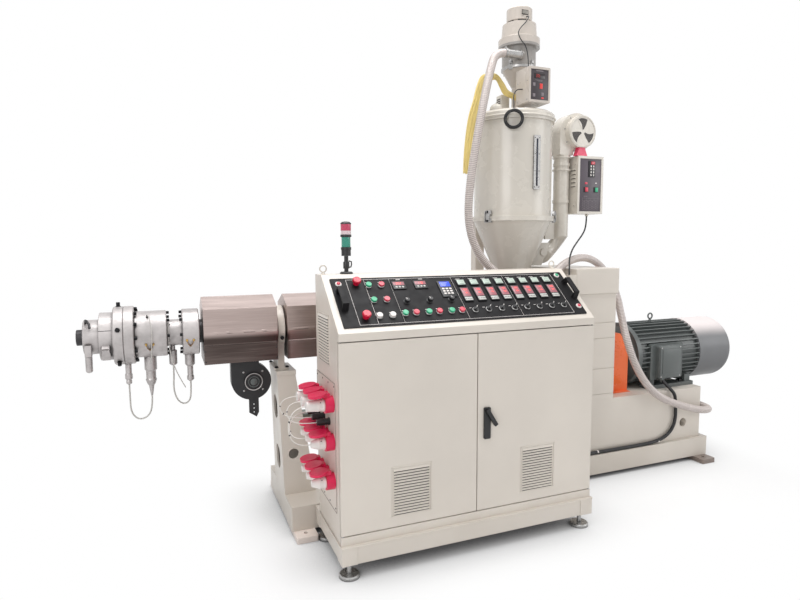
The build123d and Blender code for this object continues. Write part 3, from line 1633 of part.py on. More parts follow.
# Plugs in the sockets, and three plain inlet connectors below the top row
connector_x = plate_face - inlet_connector_length
with BuildPart() as socket_plugs:
    for row_z in socket_rows:
        first_row = row_z == socket_rows[0]
        plug_length = plug_long if first_row else plug_short
        tip_radius = plug_radius - 4 if first_row else plug_tip_radius
        for column_y in socket_columns:
            with BuildSketch(Plane.YZ.offset(socket_face)):
                with Locations((column_y, row_z)):
                    Circle(plug_radius)
            extrude(amount=-plug_length / 2)
            with BuildSketch(Plane.YZ.offset(socket_face - plug_length / 2)):
                with Locations((column_y, row_z)):
                    Circle(plug_radius - 1)
            with BuildSketch(Plane.YZ.offset(socket_face - plug_length)):
                with Locations((column_y, row_z)):
                    Circle(tip_radius)
            loft()
    with BuildSketch(Plane.YZ.offset(plate_face)):
        for column_y in inlet_connectors:
            with Locations((column_y, inlet_connector_height)):
                Circle(inlet_connector_radius)
    extrude(amount=-inlet_connector_length)
keep(socket_plugs, "socket_plugs")

# Signal lamp: foot, stem, body and two lenses under a domed cap
lamp_foot = cabinet_top_height
lamp_top = lamp_foot + lamp_height
signal_lamp = turned_upright(
    [
        (0, lamp_foot),
        (lamp_foot_radius, lamp_foot),
        (lamp_foot_radius, lamp_foot + 6),
        (lamp_stem_radius, lamp_foot + 12),
        (lamp_stem_radius, lamp_foot + 48),
        (lamp_radius - 2, lamp_foot + 54),
        (lamp_radius - 2, lamp_foot + 128),
        (lamp_radius, lamp_foot + 130),
        (lamp_radius, lamp_top - 12),
        (lamp_radius - 10, lamp_top),
        (0, lamp_top),
    ],
    lamp_x,
    lamp_y,
)
keep(signal_lamp, "signal_lamp")

# Wiring duct: a folded trunk from the column to the gearbox plinth
with BuildPart() as wiring_duct:
    with BuildSketch(Plane.YZ.offset(wiring_left)):
        with Locations((wiring_y + wiring_depth / 2, wiring_bottom + wiring_height / 2)):
            Rectangle(wiring_depth, wiring_height)
    extrude(amount=gearbox_start - wiring_left)
keep(wiring_duct, "wiring_duct")

# Filter bag: a limp sleeve that hangs beside the hopper from the loader
tie_x = loader_x - loader_arm_width / 2
tie_top = loader_box_bottom + loader_arm_height + 12
tie_low = tie_top - bag_strip
bag_front = [(-267, 2385), (-305, 2289), (-326, 2150), (-340, 1948)]
bag_back = [(-291, 1955), (-281, 2083), (-234, 2294), (-196, 2500)]
bag_strip_low = [(-118, 2520), (-62, 2436), (tie_x, tie_low)]
bag_strip_top = [(tie_x, tie_top), (-36, 2470), (-104, 2564), (-228, 2546)]
with BuildPart() as filter_bag:
    with BuildSketch(Plane.XZ.offset(-bag_y)):
        with BuildLine():
            Polyline(*bag_front, *bag_back, *bag_strip_low, *bag_strip_top, close=True)
        make_face()
    extrude(amount=-bag_thickness)
keep(filter_bag, "filter_bag")


def corner_radii(points):
    """The widest arc that the two runs at each corner of a route allow."""
    corners = [Vector(point) for point in points]
    radii = []
    for before, corner, after in zip(corners, corners[1:], corners[2:]):
        run_in = corner - before
        run_out = after - corner
        half_turn = math.radians(run_in.get_angle(run_out)) / 2
        radii.append(0.45 * min(run_in.length, run_out.length) / math.tan(half_turn))
    return radii


def tubes(name, diameter, *routes):
    """Round tubes along routes of straight runs joined by arcs; prints their radii and lengths."""
    with BuildPart() as piece:
        for route in routes:
            radii = corner_radii(route)
            with BuildLine() as path:
                FilletPolyline(*route, radius=radii)
            run = path.wire()
            with BuildSketch(Plane(origin=run @ 0, z_dir=run % 0)):
                Circle(diameter / 2)
            sweep(path=run)
            expected = run.length * math.pi * diameter**2 / 4
            print(name, "length", round(run.length), "least radius", round(min(radii)), end=" ")
            print("section times length", round(expected))
        print(name, "volume", round(piece.part.volume))
    return piece


# Suction hose: from the loader down past the hopper, over the gearbox and round the plinth
suction_hose = tubes(
    "suction_hose",
    hose_diameter,
    [
        (inlet_start, inlet_y, inlet_z),
        (-150, inlet_y, inlet_z),
        (-214, -155, 2545),
        (-282, -200, 2350),
        (-335, -205, 2100),
        (-378, -210, 1850),
        (-388, -212, 1650),
        (-335, -220, 1480),
        (-220, -240, 1350),
        (-60, -285, 1295),
        (90, -290, 1300),
        (205, -255, 1350),
        (332, -190, 1407),
        (505, -110, 1435),
        (662, -40, 1418),
        (790, -10, 1350),
        (815, -110, 1204),
        (764, -230, 1017),
        (733, -325, 866),
        (787, -345, 718),
        (878, -352, 589),
        (986, -352, 504),
        (1104, -353, 450),
        (1252, -352, 399),
        (1400, -350, 362),
        (1520, -310, 352),
        (1510, -200, 360),
    ],
)
keep(suction_hose, "suction_hose")

# Motor cable: from the terminal box over the plinth's edge, along the ledge into the cabinet
ledge_y = -base_width / 2 + motor_cable_diameter / 2 + 1
ledge_z = base_top + motor_cable_diameter / 2 + 1
gland_top = motor_gland[1]
motor_cable = tubes(
    "motor_cable",
    motor_cable_diameter,
    [
        terminal_gland.offset(terminal_gland_length).origin,
        terminal_gland.offset(terminal_gland_length + 60).origin,
        (1154, -325, 500),
        (1173, -316, 450),
        (1185, ledge_y - 1, 395),
        (1189, ledge_y, 335),
        (1178, ledge_y, 277),
        (1144, ledge_y, 227),
        (1085, ledge_y, 192),
        (1000, ledge_y, 175),
        (860, ledge_y, ledge_z),
        (640, ledge_y - 1, ledge_z + 0.5),
        (400, ledge_y, ledge_z),
        (220, ledge_y, ledge_z),
        (120, ledge_y + 1, ledge_z + 10),
        (40, ledge_y, 204),
        (2, -318, 218),
        (-19, -338, 227),
        (motor_gland[0], -365.5, gland_top),
        (motor_gland[0], body_back + gland_length, gland_top),
    ],
)
keep(motor_cable, "motor_cable")

# Dryer cable: from the gland under the box to the junction box on the gearbox
dryer_cable = tubes(
    "dryer_cable",
    dryer_cable_diameter,
    [
        (*dryer_gland, dryer_box_bottom - gland_length),
        (*dryer_gland, 1652),
        (557, -80, 1596),
        (466, -125, 1533),
        (384, -180, 1484),
        (318, -240, 1430),
        (cable_entry_x, junction_y, 1386),
        (cable_entry_x, junction_y, junction_bottom + junction_height),
    ],
)
keep(dryer_cable, "dryer_cable")

# Coil of spare cable, tied flat under the rim of the hopper's lid
coil_reach = lid_radius + connector_gap + coil_thickness / 2
coil_turn = math.radians(coil_angle)
coil_out = (math.cos(coil_turn), math.sin(coil_turn), 0)
coil_x = hopper_x + coil_reach * coil_out[0]
coil_y = coil_reach * coil_out[1]
coil_plane = Plane(origin=(coil_x, coil_y, coil_height), z_dir=coil_out)
with BuildPart() as loader_coil:
    with BuildSketch(coil_plane.offset(-coil_thickness / 2)):
        Circle(coil_outer_radius)
        Circle(coil_inner_radius, mode=Mode.SUBTRACT)
    extrude(amount=coil_thickness)
    fillet(loader_coil.edges(), radius=coil_thickness / 3)
keep(loader_coil, "loader_coil")

# Loader cable: from the cap down the head to the control box, and from the box to the coil
loader_box_top = loader_box_bottom + loader_box_height
cable_y = -loader_cap_radius
loader_cable = tubes(
    "loader_cable",
    loader_cable_diameter,
    [
        (loader_x, cable_y, 2908),
        (loader_x, cable_y - 22, 2908),
        (72, -116, 2888),
        (48, -121, 2856),
        (20, -123, 2830),
        (2, -124, 2808),
        (-7, -126, 2786),
        (9, -130, 2750),
        (36, -142, 2716),
        (46, -146, 2684),
        (47, -160, 2625),
        (47, -160, loader_box_top),
    ],
    [
        (loader_box_left, -180, 2445),
        (-34, -180, 2445),
        (-66, -192, 2425),
        (-92, -216, 2388),
        (coil_x, coil_y, 2356),
        (coil_x, coil_y, coil_height + coil_outer_radius),
    ],
)
keep(loader_cable, "loader_cable")

# Heater leads between the hanging connectors
drops = {place[0]: axis_height - place[1] - connector_gap - place[2][-1][1] for place in hanging}
front_lead_x, body_lead_x, neck_lead_x, rear_lead_x = (place[0] for place in hanging)
die_lead_front = tubes(
    "die_lead_front",
    lead_diameter,
    [
        (front_lead_x, 0, drops[front_lead_x]),
        (front_lead_x, 0, 750),
        (-2230, 0, 668),
        (-2192, 0, 628),
        (-2144, 0, 646),
        (body_lead_x, 0, 702),
        (body_lead_x, 0, drops[body_lead_x]),
    ],
)
keep(die_lead_front, "die_lead_front")
die_lead_rear = tubes(
    "die_lead_rear",
    lead_diameter,
    [
        (neck_lead_x, 0, drops[neck_lead_x]),
        (neck_lead_x, 0, 845),
        (-2022, 0, 778),
        (-2007, 0, 716),
        (-1974, 0, 688),
        (-1942, 0, 704),
        (rear_lead_x, 0, 756),
        (rear_lead_x, 0, drops[rear_lead_x]),
    ],
)
keep(die_lead_rear, "die_lead_rear")

# Thin sensor wires: one hangs free from the neck, one runs over the die body to its plug
neck_seat = neck_radius + connector_gap / 2
body_seat = body_radius + connector_gap / 2
die_lead_thin = tubes(
    "die_lead_thin",
    thin_lead_diameter,
    [
        (-2034, -neck_seat * math.sqrt(0.5), axis_height + neck_seat * math.sqrt(0.5)),
        (-2034, -63, axis_height + 63),
        (-2035, -80, 1136),
        (-2037, -88, 1100),
        (-2037, -88, 1050),
        (-2032, -86, 1000),
        (-2023, -80, 945),
        (-2007, -62, 888),
        (-1982, -42, 826),
        (-1962, -34, 786),
    ],
    [
        (-2130, -0.6 * body_seat, axis_height + 0.8 * body_seat),
        (-2130, -0.6 * (body_seat + 20), axis_height + 0.8 * (body_seat + 20)),
        (-2126, -104, 1182),
        (-2118, -122, 1154),
        (-2112, -131, 1105),
        (-2114, -128, 1050),
        (-2117, -112, 1000),
        (-2121, -88, 958),
        (body_lead_x, -56, 932),
        (body_lead_x, -30.2, 932),
    ],
)
keep(die_lead_thin, "die_lead_thin")

# Socket leads: loose white wires between plugs and inlet connectors
long_tip = socket_face - plug_long
short_tip = socket_face - plug_short
top_row, middle_row, bottom_row = socket_rows
front_column, centre_column, back_column = socket_columns
connector_front, connector_centre, connector_back = inlet_connectors
socket_leads = tubes(
    "socket_leads",
    socket_lead_diameter,
    [
        (long_tip, back_column, top_row),
        (-1510, back_column, top_row),
        (-1552, -508, 786),
        (-1562, -518, 744),
        (-1528, -532, 714),
        (-1456, connector_centre, inlet_connector_height),
        (connector_x, connector_centre, inlet_connector_height),
    ],
    [
        (long_tip, centre_column, top_row),
        (-1506, centre_column, top_row),
        (-1542, -610, 784),
        (-1548, -620, 744),
        (-1520, -632, 714),
        (-1456, connector_front, inlet_connector_height),
        (connector_x, connector_front, inlet_connector_height),
    ],
    [
        (long_tip, front_column, top_row),
        (-1506, front_column, top_row),
        (-1546, -704, 774),
        (-1562, -708, 712),
        (-1544, -706, 652),
        (-1500, front_column, middle_row),
        (short_tip, front_column, middle_row),
    ],
    [
        (connector_x, connector_back, inlet_connector_height),
        (-1452, connector_back, inlet_connector_height),
        (-1494, -474, 686),
        (-1520, -520, 656),
        (-1518, -570, 632),
        (-1490, centre_column, middle_row),
        (short_tip, centre_column, middle_row),
    ],
)
keep(socket_leads, "socket_leads")
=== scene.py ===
# %% [markdown]
# A single-screw plastic pipe extruder, dressed for its portrait. The construction is already there: steel
# base, gearbox, motor, barrel, hopper and control cabinet come in as a fixed frame of sixty nodes. What this
# file adds is everything that the eye expects on top: paint and metal, screws, buttons, hoses and wires.
# Each step has a note like this one before its code.

import math
import random

import bmesh
import bpy
from mathutils import Matrix, Vector


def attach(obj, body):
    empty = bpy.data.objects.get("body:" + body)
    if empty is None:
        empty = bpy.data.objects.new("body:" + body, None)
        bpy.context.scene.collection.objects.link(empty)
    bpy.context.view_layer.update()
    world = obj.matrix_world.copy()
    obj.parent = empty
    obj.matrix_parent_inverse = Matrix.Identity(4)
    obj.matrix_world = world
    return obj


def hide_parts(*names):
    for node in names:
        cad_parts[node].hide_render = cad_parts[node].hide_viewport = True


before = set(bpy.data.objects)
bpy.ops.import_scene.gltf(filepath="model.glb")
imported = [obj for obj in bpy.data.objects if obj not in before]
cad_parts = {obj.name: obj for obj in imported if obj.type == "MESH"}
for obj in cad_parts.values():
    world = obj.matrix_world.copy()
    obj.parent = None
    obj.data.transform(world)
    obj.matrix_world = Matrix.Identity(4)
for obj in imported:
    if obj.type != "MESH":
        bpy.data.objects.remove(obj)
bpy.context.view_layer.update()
MACHINE, DOOR_LEFT, DOOR_RIGHT = "machine", "door_left", "door_right"
FRONT, LEFT, UP = Vector((0, -1, 0)), Vector((-1, 0, 0)), Vector((0, 0, 1))
print("loaded", len(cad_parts), "nodes")

# %% [markdown]
# The camera comes first. It stands at eye level, left of the machine, and looks down by six degrees, so the
# cabinet shows its front, its left side and its sloping desk. Its place, turns and focal length were worked
# out from the cabinet's corners, so a size that is right in the frame is right in the view.


# %% Camera
def linked(name, data):
    """A new object for some data, in the scene."""
    made = bpy.data.objects.new(name, data)
    bpy.context.collection.objects.link(made)
    return made


camera_place = Vector((-2.0475, -3.2657, 1.5437))
heading, pitch, roll = 0.3831, 0.0994, -0.0055
level = Vector((math.sin(heading), math.cos(heading), 0))
ahead = math.cos(pitch) * level - math.sin(pitch) * UP
right = Vector((math.cos(heading), -math.sin(heading), 0))
above = right.cross(ahead)
tilted_right = math.cos(roll) * right + math.sin(roll) * above
tilted_above = math.cos(roll) * above - math.sin(roll) * right
camera_turn = Matrix((tilted_right, tilted_above, -ahead)).transposed()
camera = linked("camera", bpy.data.cameras.new("camera"))
camera.matrix_world = Matrix.LocRotScale(camera_place, camera_turn, None)
sensor_width, focal_length = 36, 26.44
camera.data.sensor_width = sensor_width
camera.data.lens = focal_length
scene = bpy.context.scene
scene.camera = camera
print("camera at", tuple(round(part, 3) for part in camera_place))

# %% [markdown]
# Shader maths reads best as plain arithmetic. A small class wraps a socket and turns + - * / into Math nodes,
# and one method of a second class makes every other node: its type, its settings, then its inputs.


# %% Shader arithmetic
class Value:
    """A number that varies over a surface: arithmetic on it adds Math nodes."""

    def __init__(self, tree, socket):
        self.tree = tree
        self.socket = socket

    def maths(self, operation, *others, clamp=False):
        node = self.tree.nodes.new("ShaderNodeMath")
        node.operation = operation
        node.use_clamp = clamp
        for place, other in zip(node.inputs, others):
            feed(self.tree, other, place)
        return Value(self.tree, node.outputs[0])

    def __add__(self, other):
        return self.maths("ADD", self, other)

    def __sub__(self, other):
        return self.maths("SUBTRACT", self, other)

    def __mul__(self, other):
        return self.maths("MULTIPLY", self, other)

    def __truediv__(self, other):
        return self.maths("DIVIDE", self, other)

    def __rsub__(self, other):
        return self.maths("SUBTRACT", other, self)

    def __pow__(self, other):
        return self.maths("POWER", self, other)

    __radd__ = __add__
    __rmul__ = __mul__

    def clamped(self):
        return self.maths("ADD", self, 0.0, clamp=True)

    def sine(self):
        return self.maths("SINE", self)

    def above(self, limit):
        return self.maths("GREATER_THAN", self, limit)


def feed(tree, value, socket):
    """Link a Value to a socket, or set the socket to a plain number, colour or vector."""
    if isinstance(value, Value):
        tree.links.new(value.socket, socket)
    else:
        socket.default_value = value


def colour(red, green, blue):
    """A display colour, 0 to 255 a channel, as the linear light that shaders use."""
    channels = [part / 255 for part in (red, green, blue)]
    return tuple(c / 12.92 if c <= 0.04045 else ((c + 0.055) / 1.055) ** 2.4 for c in channels) + (1,)


def dimmed(base, *shares):
    """A colour with a share of its light, or one share for each channel."""
    shares = shares if len(shares) == 3 else shares * 3
    return tuple(part * share for part, share in zip(base, shares)) + (1,)


class Finish:
    """A material and the one method that makes its nodes."""

    def __init__(self, name, base, roughness, metallic=0.0, **sockets):
        self.material = bpy.data.materials.new(name)
        self.material.use_nodes = True
        self.material.diffuse_color = base
        self.tree = self.material.node_tree
        self.shader = self.tree.nodes["Principled BSDF"]
        self.set("Base Color", base)
        self.set("Roughness", roughness)
        self.set("Metallic", metallic)
        for socket, value in sockets.items():
            self.set(socket.replace("_", " "), value)

    def set(self, socket, value):
        feed(self.tree, value, self.shader.inputs[socket])

    def node(self, kind, settings=None, inputs=None, output=0):
        made = self.tree.nodes.new(kind)
        for name, value in (settings or {}).items():
            setattr(made, name, value)
        for name, value in (inputs or {}).items():
            feed(self.tree, value, made.inputs[name])
        return Value(self.tree, made.outputs[output])

    def place(self):
        return self.node("ShaderNodeTexCoord", output="Object")

    def along(self, axis):
        """The object coordinate X, Y or Z."""
        return self.node("ShaderNodeSeparateXYZ", {}, {"Vector": self.place()}, output=axis)

    def stretched(self, scale):
        """Object coordinates squeezed along the axes, for brushed and rolled patterns."""
        return self.node("ShaderNodeMapping", {}, {"Vector": self.place(), "Scale": scale})

    def noise(self, scale, detail=3.0, where=None, roughness=0.5):
        inputs = {"Vector": where or self.place(), "Scale": scale, "Detail": detail, "Roughness": roughness}
        return self.node("ShaderNodeTexNoise", {}, inputs)

    def threads(self, axis, pitch):
        """Waves along an axis, one for each thread or wire."""
        return (self.along(axis) * (2 * math.pi / pitch)).sine()

    def blend(self, factor, first, second):
        return self.node("ShaderNodeMix", {"data_type": "RGBA"}, {0: factor, 6: first, 7: second}, output=2)

    def band(self, value, low, high, out_low=0.0, out_high=1.0):
        """Map low..high smoothly to two other numbers, and hold them beyond."""
        inputs = {"Value": value, "From Min": low, "From Max": high, "To Min": out_low, "To Max": out_high}
        return self.node("ShaderNodeMapRange", {"interpolation_type": "SMOOTHSTEP"}, inputs)

    def gloss(self, pattern, low, high, top=0.7):
        """Roughness between two numbers, wherever a pattern is low or high."""
        self.set("Roughness", self.band(pattern, 0.3, top, low, high))

    def relief(self, height, distance, edge=0.0):
        """Bump from a height, on normals that are rounded over the edges."""
        inputs = {"Height": height, "Distance": distance, "Strength": 1.0}
        if edge:
            inputs["Normal"] = self.node("ShaderNodeBevel", {"samples": 4}, {"Radius": edge})
        self.set("Normal", self.node("ShaderNodeBump", {}, inputs))

    def openness(self, distance):
        """How open a spot is: 1 in the open, less in a corner or under something."""
        return self.node("ShaderNodeAmbientOcclusion", {"samples": 8}, {"Distance": distance}, output="AO")


print("shader helpers ready")

# %% [markdown]
# Paint. The machine, its cabinet and its dryer all wear a warm light grey enamel. Sprayed enamel isn't flat:
# it has a faint orange peel, its gloss wanders, and it darkens a little near the floor where dust settles.
# A Bevel node rounds the shading of every sharp sheet edge, so that edges catch the light as real folds do.
# Three of the enamels carry a second colour, which fills one box of the object's space, the patch.


# %% Enamels
def patched(finish, coat, other, low, high):
    """A coat with another colour inside a box of the object's space."""
    inside = 1.0
    for axis, start, end in zip("XYZ", low, high):
        inside = finish.along(axis).above(start) * (1 - finish.along(axis).above(end)) * inside
    return finish.blend(inside, coat, other)


def enamel(name, base, roughness=0.36, peel=0.00012, soil=0.25, edge=0.0025, patch=None):
    finish = Finish(name, base, roughness, Coat_Weight=0.12, Coat_Roughness=0.18)
    cloud = finish.noise(1.7, 4.0)
    dust_top, ground_level = 0.55, 0.0
    dust = finish.band(finish.along("Z"), dust_top, ground_level) * finish.band(cloud, 0.3, 0.75)
    uneven = finish.blend(finish.band(cloud, 0.25, 0.8), base, dimmed(base, 0.9))
    coat = finish.blend(dust * soil, uneven, dimmed(base, 0.74, 0.7, 0.64))
    finish.set("Base Color", patched(finish, coat, *patch) if patch else coat)
    finish.gloss(finish.noise(9.0, 5.0), roughness - 0.05, roughness + 0.09, top=0.75)
    finish.relief(finish.noise(260.0, 2.0), peel, edge)
    return finish.material


def silver_enamel(name, base):
    """Smooth metallic lacquer of a pressed fan cowl, with a painted highlight on its top and painted shade
    underneath.
    """
    finish = Finish(name, base, 0.42, 0.1, Specular_IOR_Level=0.2)
    cloud = finish.noise(2.5)
    height = finish.along("Z")
    tone = finish.blend(finish.band(cloud, 0.3, 0.7), dimmed(base, 0.9), base)
    # Painted shade: the lower half of the cowl is darker, fading out towards its axis.
    tone = finish.blend(finish.band(height, 0.5, 0.74), dimmed(base, 0.36), tone)
    # Painted highlight: the top of the cowl turns pale.
    painted_top_highlight = finish.band(height + (cloud - 0.5) * 0.03, 0.84, 0.94)
    finish.set("Base Color", finish.blend(painted_top_highlight, tone, colour(240, 231, 230)))
    finish.gloss(finish.noise(6.0, 4.0), 0.3, 0.42)
    finish.relief(cloud, 0.0002, 0.003)
    return finish.material


dryer_grey, fine_peel = colour(214, 208, 198), 0.00005
red_collar = (colour(222, 62, 98), (0.0, -0.2, 2.0), (0.8, -0.0565, 2.1455))
grey_waist = (colour(150, 146, 142), (-0.2, -0.3, 2.6215), (0.3, 0.3, 2.75))
brown_foot = (colour(134, 121, 113), (1.0, -1.0, -0.1), (2.0, 1.0, 0.2))
machine_paint = enamel("machine_enamel", colour(219, 211, 201))
cabinet_paint = enamel("cabinet_enamel", colour(222, 214, 204), 0.34, 0.00008)
dryer_paint = enamel("dryer_enamel", dryer_grey, 0.24, fine_peel, soil=0.0)
motor_paint = enamel("motor_enamel", colour(90, 95, 94), 0.34, 0.0002, edge=0.0015)
duct_paint = enamel("duct_enamel", colour(143, 150, 140), 0.42)
guard_paint = enamel("guard_enamel", colour(246, 113, 50), 0.3, soil=0.0)
cowl_paint = silver_enamel("cowl_enamel", colour(124, 125, 127))
blower_paint = enamel("blower_enamel", dryer_grey, 0.26, fine_peel, soil=0.0, patch=red_collar)
loader_paint = enamel("loader_enamel", colour(199, 190, 181), 0.26, fine_peel, soil=0.0, patch=grey_waist)
foot_paint = enamel("foot_enamel", colour(250, 238, 230), 0.45, soil=0.12, patch=brown_foot)
print("enamels mixed")

# %% [markdown]
# Metal. The heater covers are bent from stainless sheet with long rolling marks, and their colour carries
# painted
# light and shade: lighter above the fold, darkest painted shade below it where the sheet curves in, and dusky
# painted shade at the foot. The die rings are aluminium castings, mottled and a little stained, with oil and
# painted shade in their corners. Turned and blackened steel make up the rest. All of them vary their
# roughness, because that is what makes metal look handled.


# %% Metals
def brushed(name, base, roughness, stretch):
    finish = Finish(name, base, roughness, 1.0)
    lines = finish.noise(240.0, 3.0, finish.stretched(stretch), 0.6)
    streaks = finish.noise(2.2) * 0.75 + lines * 0.25
    finish.set("Base Color", finish.blend(finish.band(streaks, 0.3, 0.7), dimmed(base, 0.8), base))
    finish.gloss(lines, roughness - 0.05, roughness + 0.1)
    finish.relief(lines * 0.01, 0.004, 0.0012)
    return finish.material


def cast(name, base, roughness, stain=0.35, metallic=0.85):
    finish = Finish(name, base, roughness, metallic)
    cloud = finish.noise(8.0, 5.0, None, 0.6)
    speck = finish.noise(55.0)
    mottled = finish.blend(finish.band(cloud, 0.32, 0.62), dimmed(base, 1 - stain), base)
    # Oil and painted shade: the colour darkens in corners and crevices, where ambient occlusion finds little
    # open space.
    free_of_oil_and_shade = finish.band(finish.openness(0.022) + (cloud - 0.5) * 0.3, 0.35, 0.85)
    oil_and_painted_shade = dimmed(base, 0.22)
    finish.set("Base Color", finish.blend(free_of_oil_and_shade, oil_and_painted_shade, mottled))
    finish.gloss(speck, roughness - 0.07, roughness + 0.12)
    finish.relief(finish.noise(180.0, 2.0) + speck * 0.4, 0.00012, 0.0015)
    return finish.material


def cover_sheet():
    """Rolled stainless: painted light above the fold, painted shade below it, paler on the cover by the
    hopper.
    """
    finish = Finish("cover_stainless", colour(188, 173, 168), 0.34, 1.0)
    rolled = finish.noise(240.0, 3.0, finish.stretched((0.02, 1, 1)), 0.6)
    streak = finish.noise(9.0, 3.0, finish.stretched((0.15, 1, 1)))
    wander = (finish.noise(2.2) - 0.5) * 0.014
    fold_top, fold_low, foot_top, foot_low, cover_gap = 1.078, 1.045, 1.03, 1.016, -1.44
    # Painted shade masks: the curved face below the fold, the foot, and the cover towards the hopper.
    curved = finish.band(finish.along("Z") + wander, fold_top, fold_low)
    foot = finish.band(finish.along("Z"), foot_top, foot_low)
    rear_cover = finish.band(finish.along("X"), cover_gap, cover_gap + 0.02)
    # Painted shade below the fold: darkest on the curve, dusky at the foot, paler on the cover towards the
    # hopper.
    under = finish.blend(foot, colour(76, 65, 61), colour(118, 106, 102))
    under = finish.blend(rear_cover, under, colour(166, 148, 145))
    under_dull = finish.blend(rear_cover, colour(76, 66, 63), colour(140, 125, 122))
    # Painted light above the fold and painted shade below it, in a brighter and a duller tone of the rolling
    # marks.
    bright = finish.blend(curved, colour(203, 187, 182), under)
    dull = finish.blend(curved, colour(174, 158, 153), under_dull)
    marks = finish.band(streak * 0.6 + rolled * 0.4, 0.35, 0.7)
    finish.set("Base Color", finish.blend(marks, dull, bright))
    finish.gloss(rolled, 0.28, 0.42)
    finish.relief(finish.noise(7.0, 2.0) * 0.25 + rolled * 0.01, 0.004, 0.0012)
    return finish.material


def meshed(name, base, pitch):
    """Woven wire: bright wires a pitch apart, with painted shade in the holes between them."""
    finish = Finish(name, base, 0.45, 0.6)
    wires = finish.band(finish.threads("X", pitch) + finish.threads("Z", pitch), 0.2, 1.0)
    # Painted shade: the holes between the wires are dark.
    finish.set("Base Color", finish.blend(wires, colour(50, 47, 46), base))
    finish.relief(wires, 0.001)
    return finish.material


cover_steel = cover_sheet()
die_aluminium = cast("die_aluminium", colour(191, 186, 185), 0.44, 0.24, 0.78)
turned_steel = brushed("turned_steel", colour(72, 71, 72), 0.38, (0.2, 1, 1))
black_steel = cast("black_oxide", colour(38, 38, 40), 0.42, 0.5)
bright_zinc = cast("bright_zinc", colour(176, 175, 174), 0.3, 0.2)
brass = cast("brass", colour(205, 168, 96), 0.3, 0.25)
wire_mesh = meshed("wire_mesh", colour(120, 116, 114), 0.006)
print("metals polished")

# %% [markdown]
# Plastics, rubber and cloth. Buttons are glossy moulded plastic, the panel is a satin laminate, sockets are
# tough red nylon with a fine grain, and the cables have a matt sheath. The dust bag is woven: two sets of
# fine waves crossed at right angles, which is what a plain weave is. The hose is milky vinyl, pale on its
# ribs and darker in the grooves, by a height that the hose's mesh carries in an attribute.


# %% Plastics and cloth
def moulded(name, base, roughness, grain=0.00005, **sockets):
    finish = Finish(name, base, roughness, **sockets)
    finish.set("Base Color", finish.blend(finish.noise(40.0), base, dimmed(base, 0.88)))
    finish.gloss(finish.noise(25.0, 4.0), roughness - 0.05, roughness + 0.08)
    finish.relief(finish.noise(700.0, 2.0), grain, 0.0008)
    return finish.material


def woven(name, base, pitch):
    finish = Finish(name, base, 0.85, Sheen_Weight=0.25, Sheen_Roughness=0.5)
    weave = finish.threads("X", pitch) * finish.threads("Z", pitch)
    worn = (finish.noise(12.0, 4.0) * 0.7 + weave * 0.15).clamped()
    finish.set("Base Color", finish.blend(worn, base, dimmed(base, 0.72)))
    finish.relief(weave * 0.5 + finish.noise(60.0), 0.0008)
    return finish.material


def vinyl(name, base):
    finish = Finish(name, base, 0.24, Coat_Weight=0.35)
    rib = finish.node("ShaderNodeAttribute", {"attribute_name": "rib"}, output="Fac")
    cloud = finish.noise(6.0, 4.0)
    groove = finish.blend(cloud, colour(150, 138, 135), colour(166, 154, 150))
    finish.set("Base Color", finish.blend(finish.band(rib, -0.8, 0.3), groove, colour(208, 198, 193)))
    finish.gloss(cloud, 0.2, 0.32)
    finish.relief(finish.noise(500.0, 2.0), 0.00004)
    return finish.material


panel_black = moulded("panel_laminate", colour(26, 25, 27), 0.5, Specular_IOR_Level=0.16)
black_plastic = moulded("black_plastic", colour(30, 30, 32), 0.4)
white_plastic = moulded("white_plastic", colour(236, 230, 226), 0.32)
red_plastic = moulded("red_nylon", colour(228, 30, 84), 0.36, 0.0001)
green_plastic = moulded("green_plastic", colour(52, 176, 130), 0.28)
button_red = moulded("button_red", colour(216, 62, 84), 0.28)
stop_red = moulded("stop_red", colour(214, 22, 58), 0.26)
cable_sheath = moulded("cable_sheath", colour(32, 32, 34), 0.55, 0.0003)
lens_green = moulded("lamp_green", colour(38, 150, 128), 0.16, Coat_Weight=0.5)
lens_clear = moulded("lamp_clear", colour(236, 214, 218), 0.18, Coat_Weight=0.5)
lens_red = moulded("lamp_red", colour(206, 62, 100), 0.16, Coat_Weight=0.5)
shadow_black = moulded("slot_shadow", colour(34, 31, 30), 0.7)
seam_shade = moulded("seam_shade", colour(150, 132, 128), 0.7)
panel_charcoal = moulded("loader_panel", colour(62, 56, 60), 0.34)
panel_plum = moulded("dryer_panel", colour(84, 76, 84), 0.36)
window_dark = moulded("window_dark", colour(38, 30, 33), 0.2)
key_dim = moulded("dim_print", colour(128, 120, 124), 0.45)
glow_soft = moulded("red_key", colour(224, 66, 62), 0.3)
blue_black = moulded("sight_slot", colour(28, 34, 52), 0.2)
thin_white = moulded("white_sheath", colour(228, 224, 218), 0.45)
heater_brown = moulded("heater_wire", colour(150, 118, 84), 0.55)
braid_grey = moulded("braided_lead", colour(204, 201, 196), 0.45, 0.0003)
blue_light = {"Emission_Color": colour(40, 70, 220), "Emission_Strength": 0.35}
blue_glass = moulded("blue_display", colour(62, 92, 226), 0.22, **blue_light)
display_rose = moulded("rose_display", colour(168, 104, 112), 0.3)
meter_face = moulded("meter_face", colour(186, 200, 188), 0.3)
key_grey = moulded("grey_keypad", colour(196, 196, 192), 0.4)
bag_cloth = woven("bag_cloth", colour(252, 226, 142), 0.0024)
hose_milky = vinyl("hose_vinyl", colour(204, 193, 188))
digit_glow = Finish("digit_glow", colour(255, 70, 70), 0.4)
ember = digit_glow.blend(digit_glow.noise(90.0), colour(255, 64, 64), colour(255, 110, 90))
digit_glow.set("Emission Color", ember)
digit_glow.set("Emission Strength", 1.2)
print("plastics and cloth ready")

# %% [markdown]
# Every carried-over node gets the finish that its real counterpart has. The table below goes from a finish to
# the nodes that wear it.

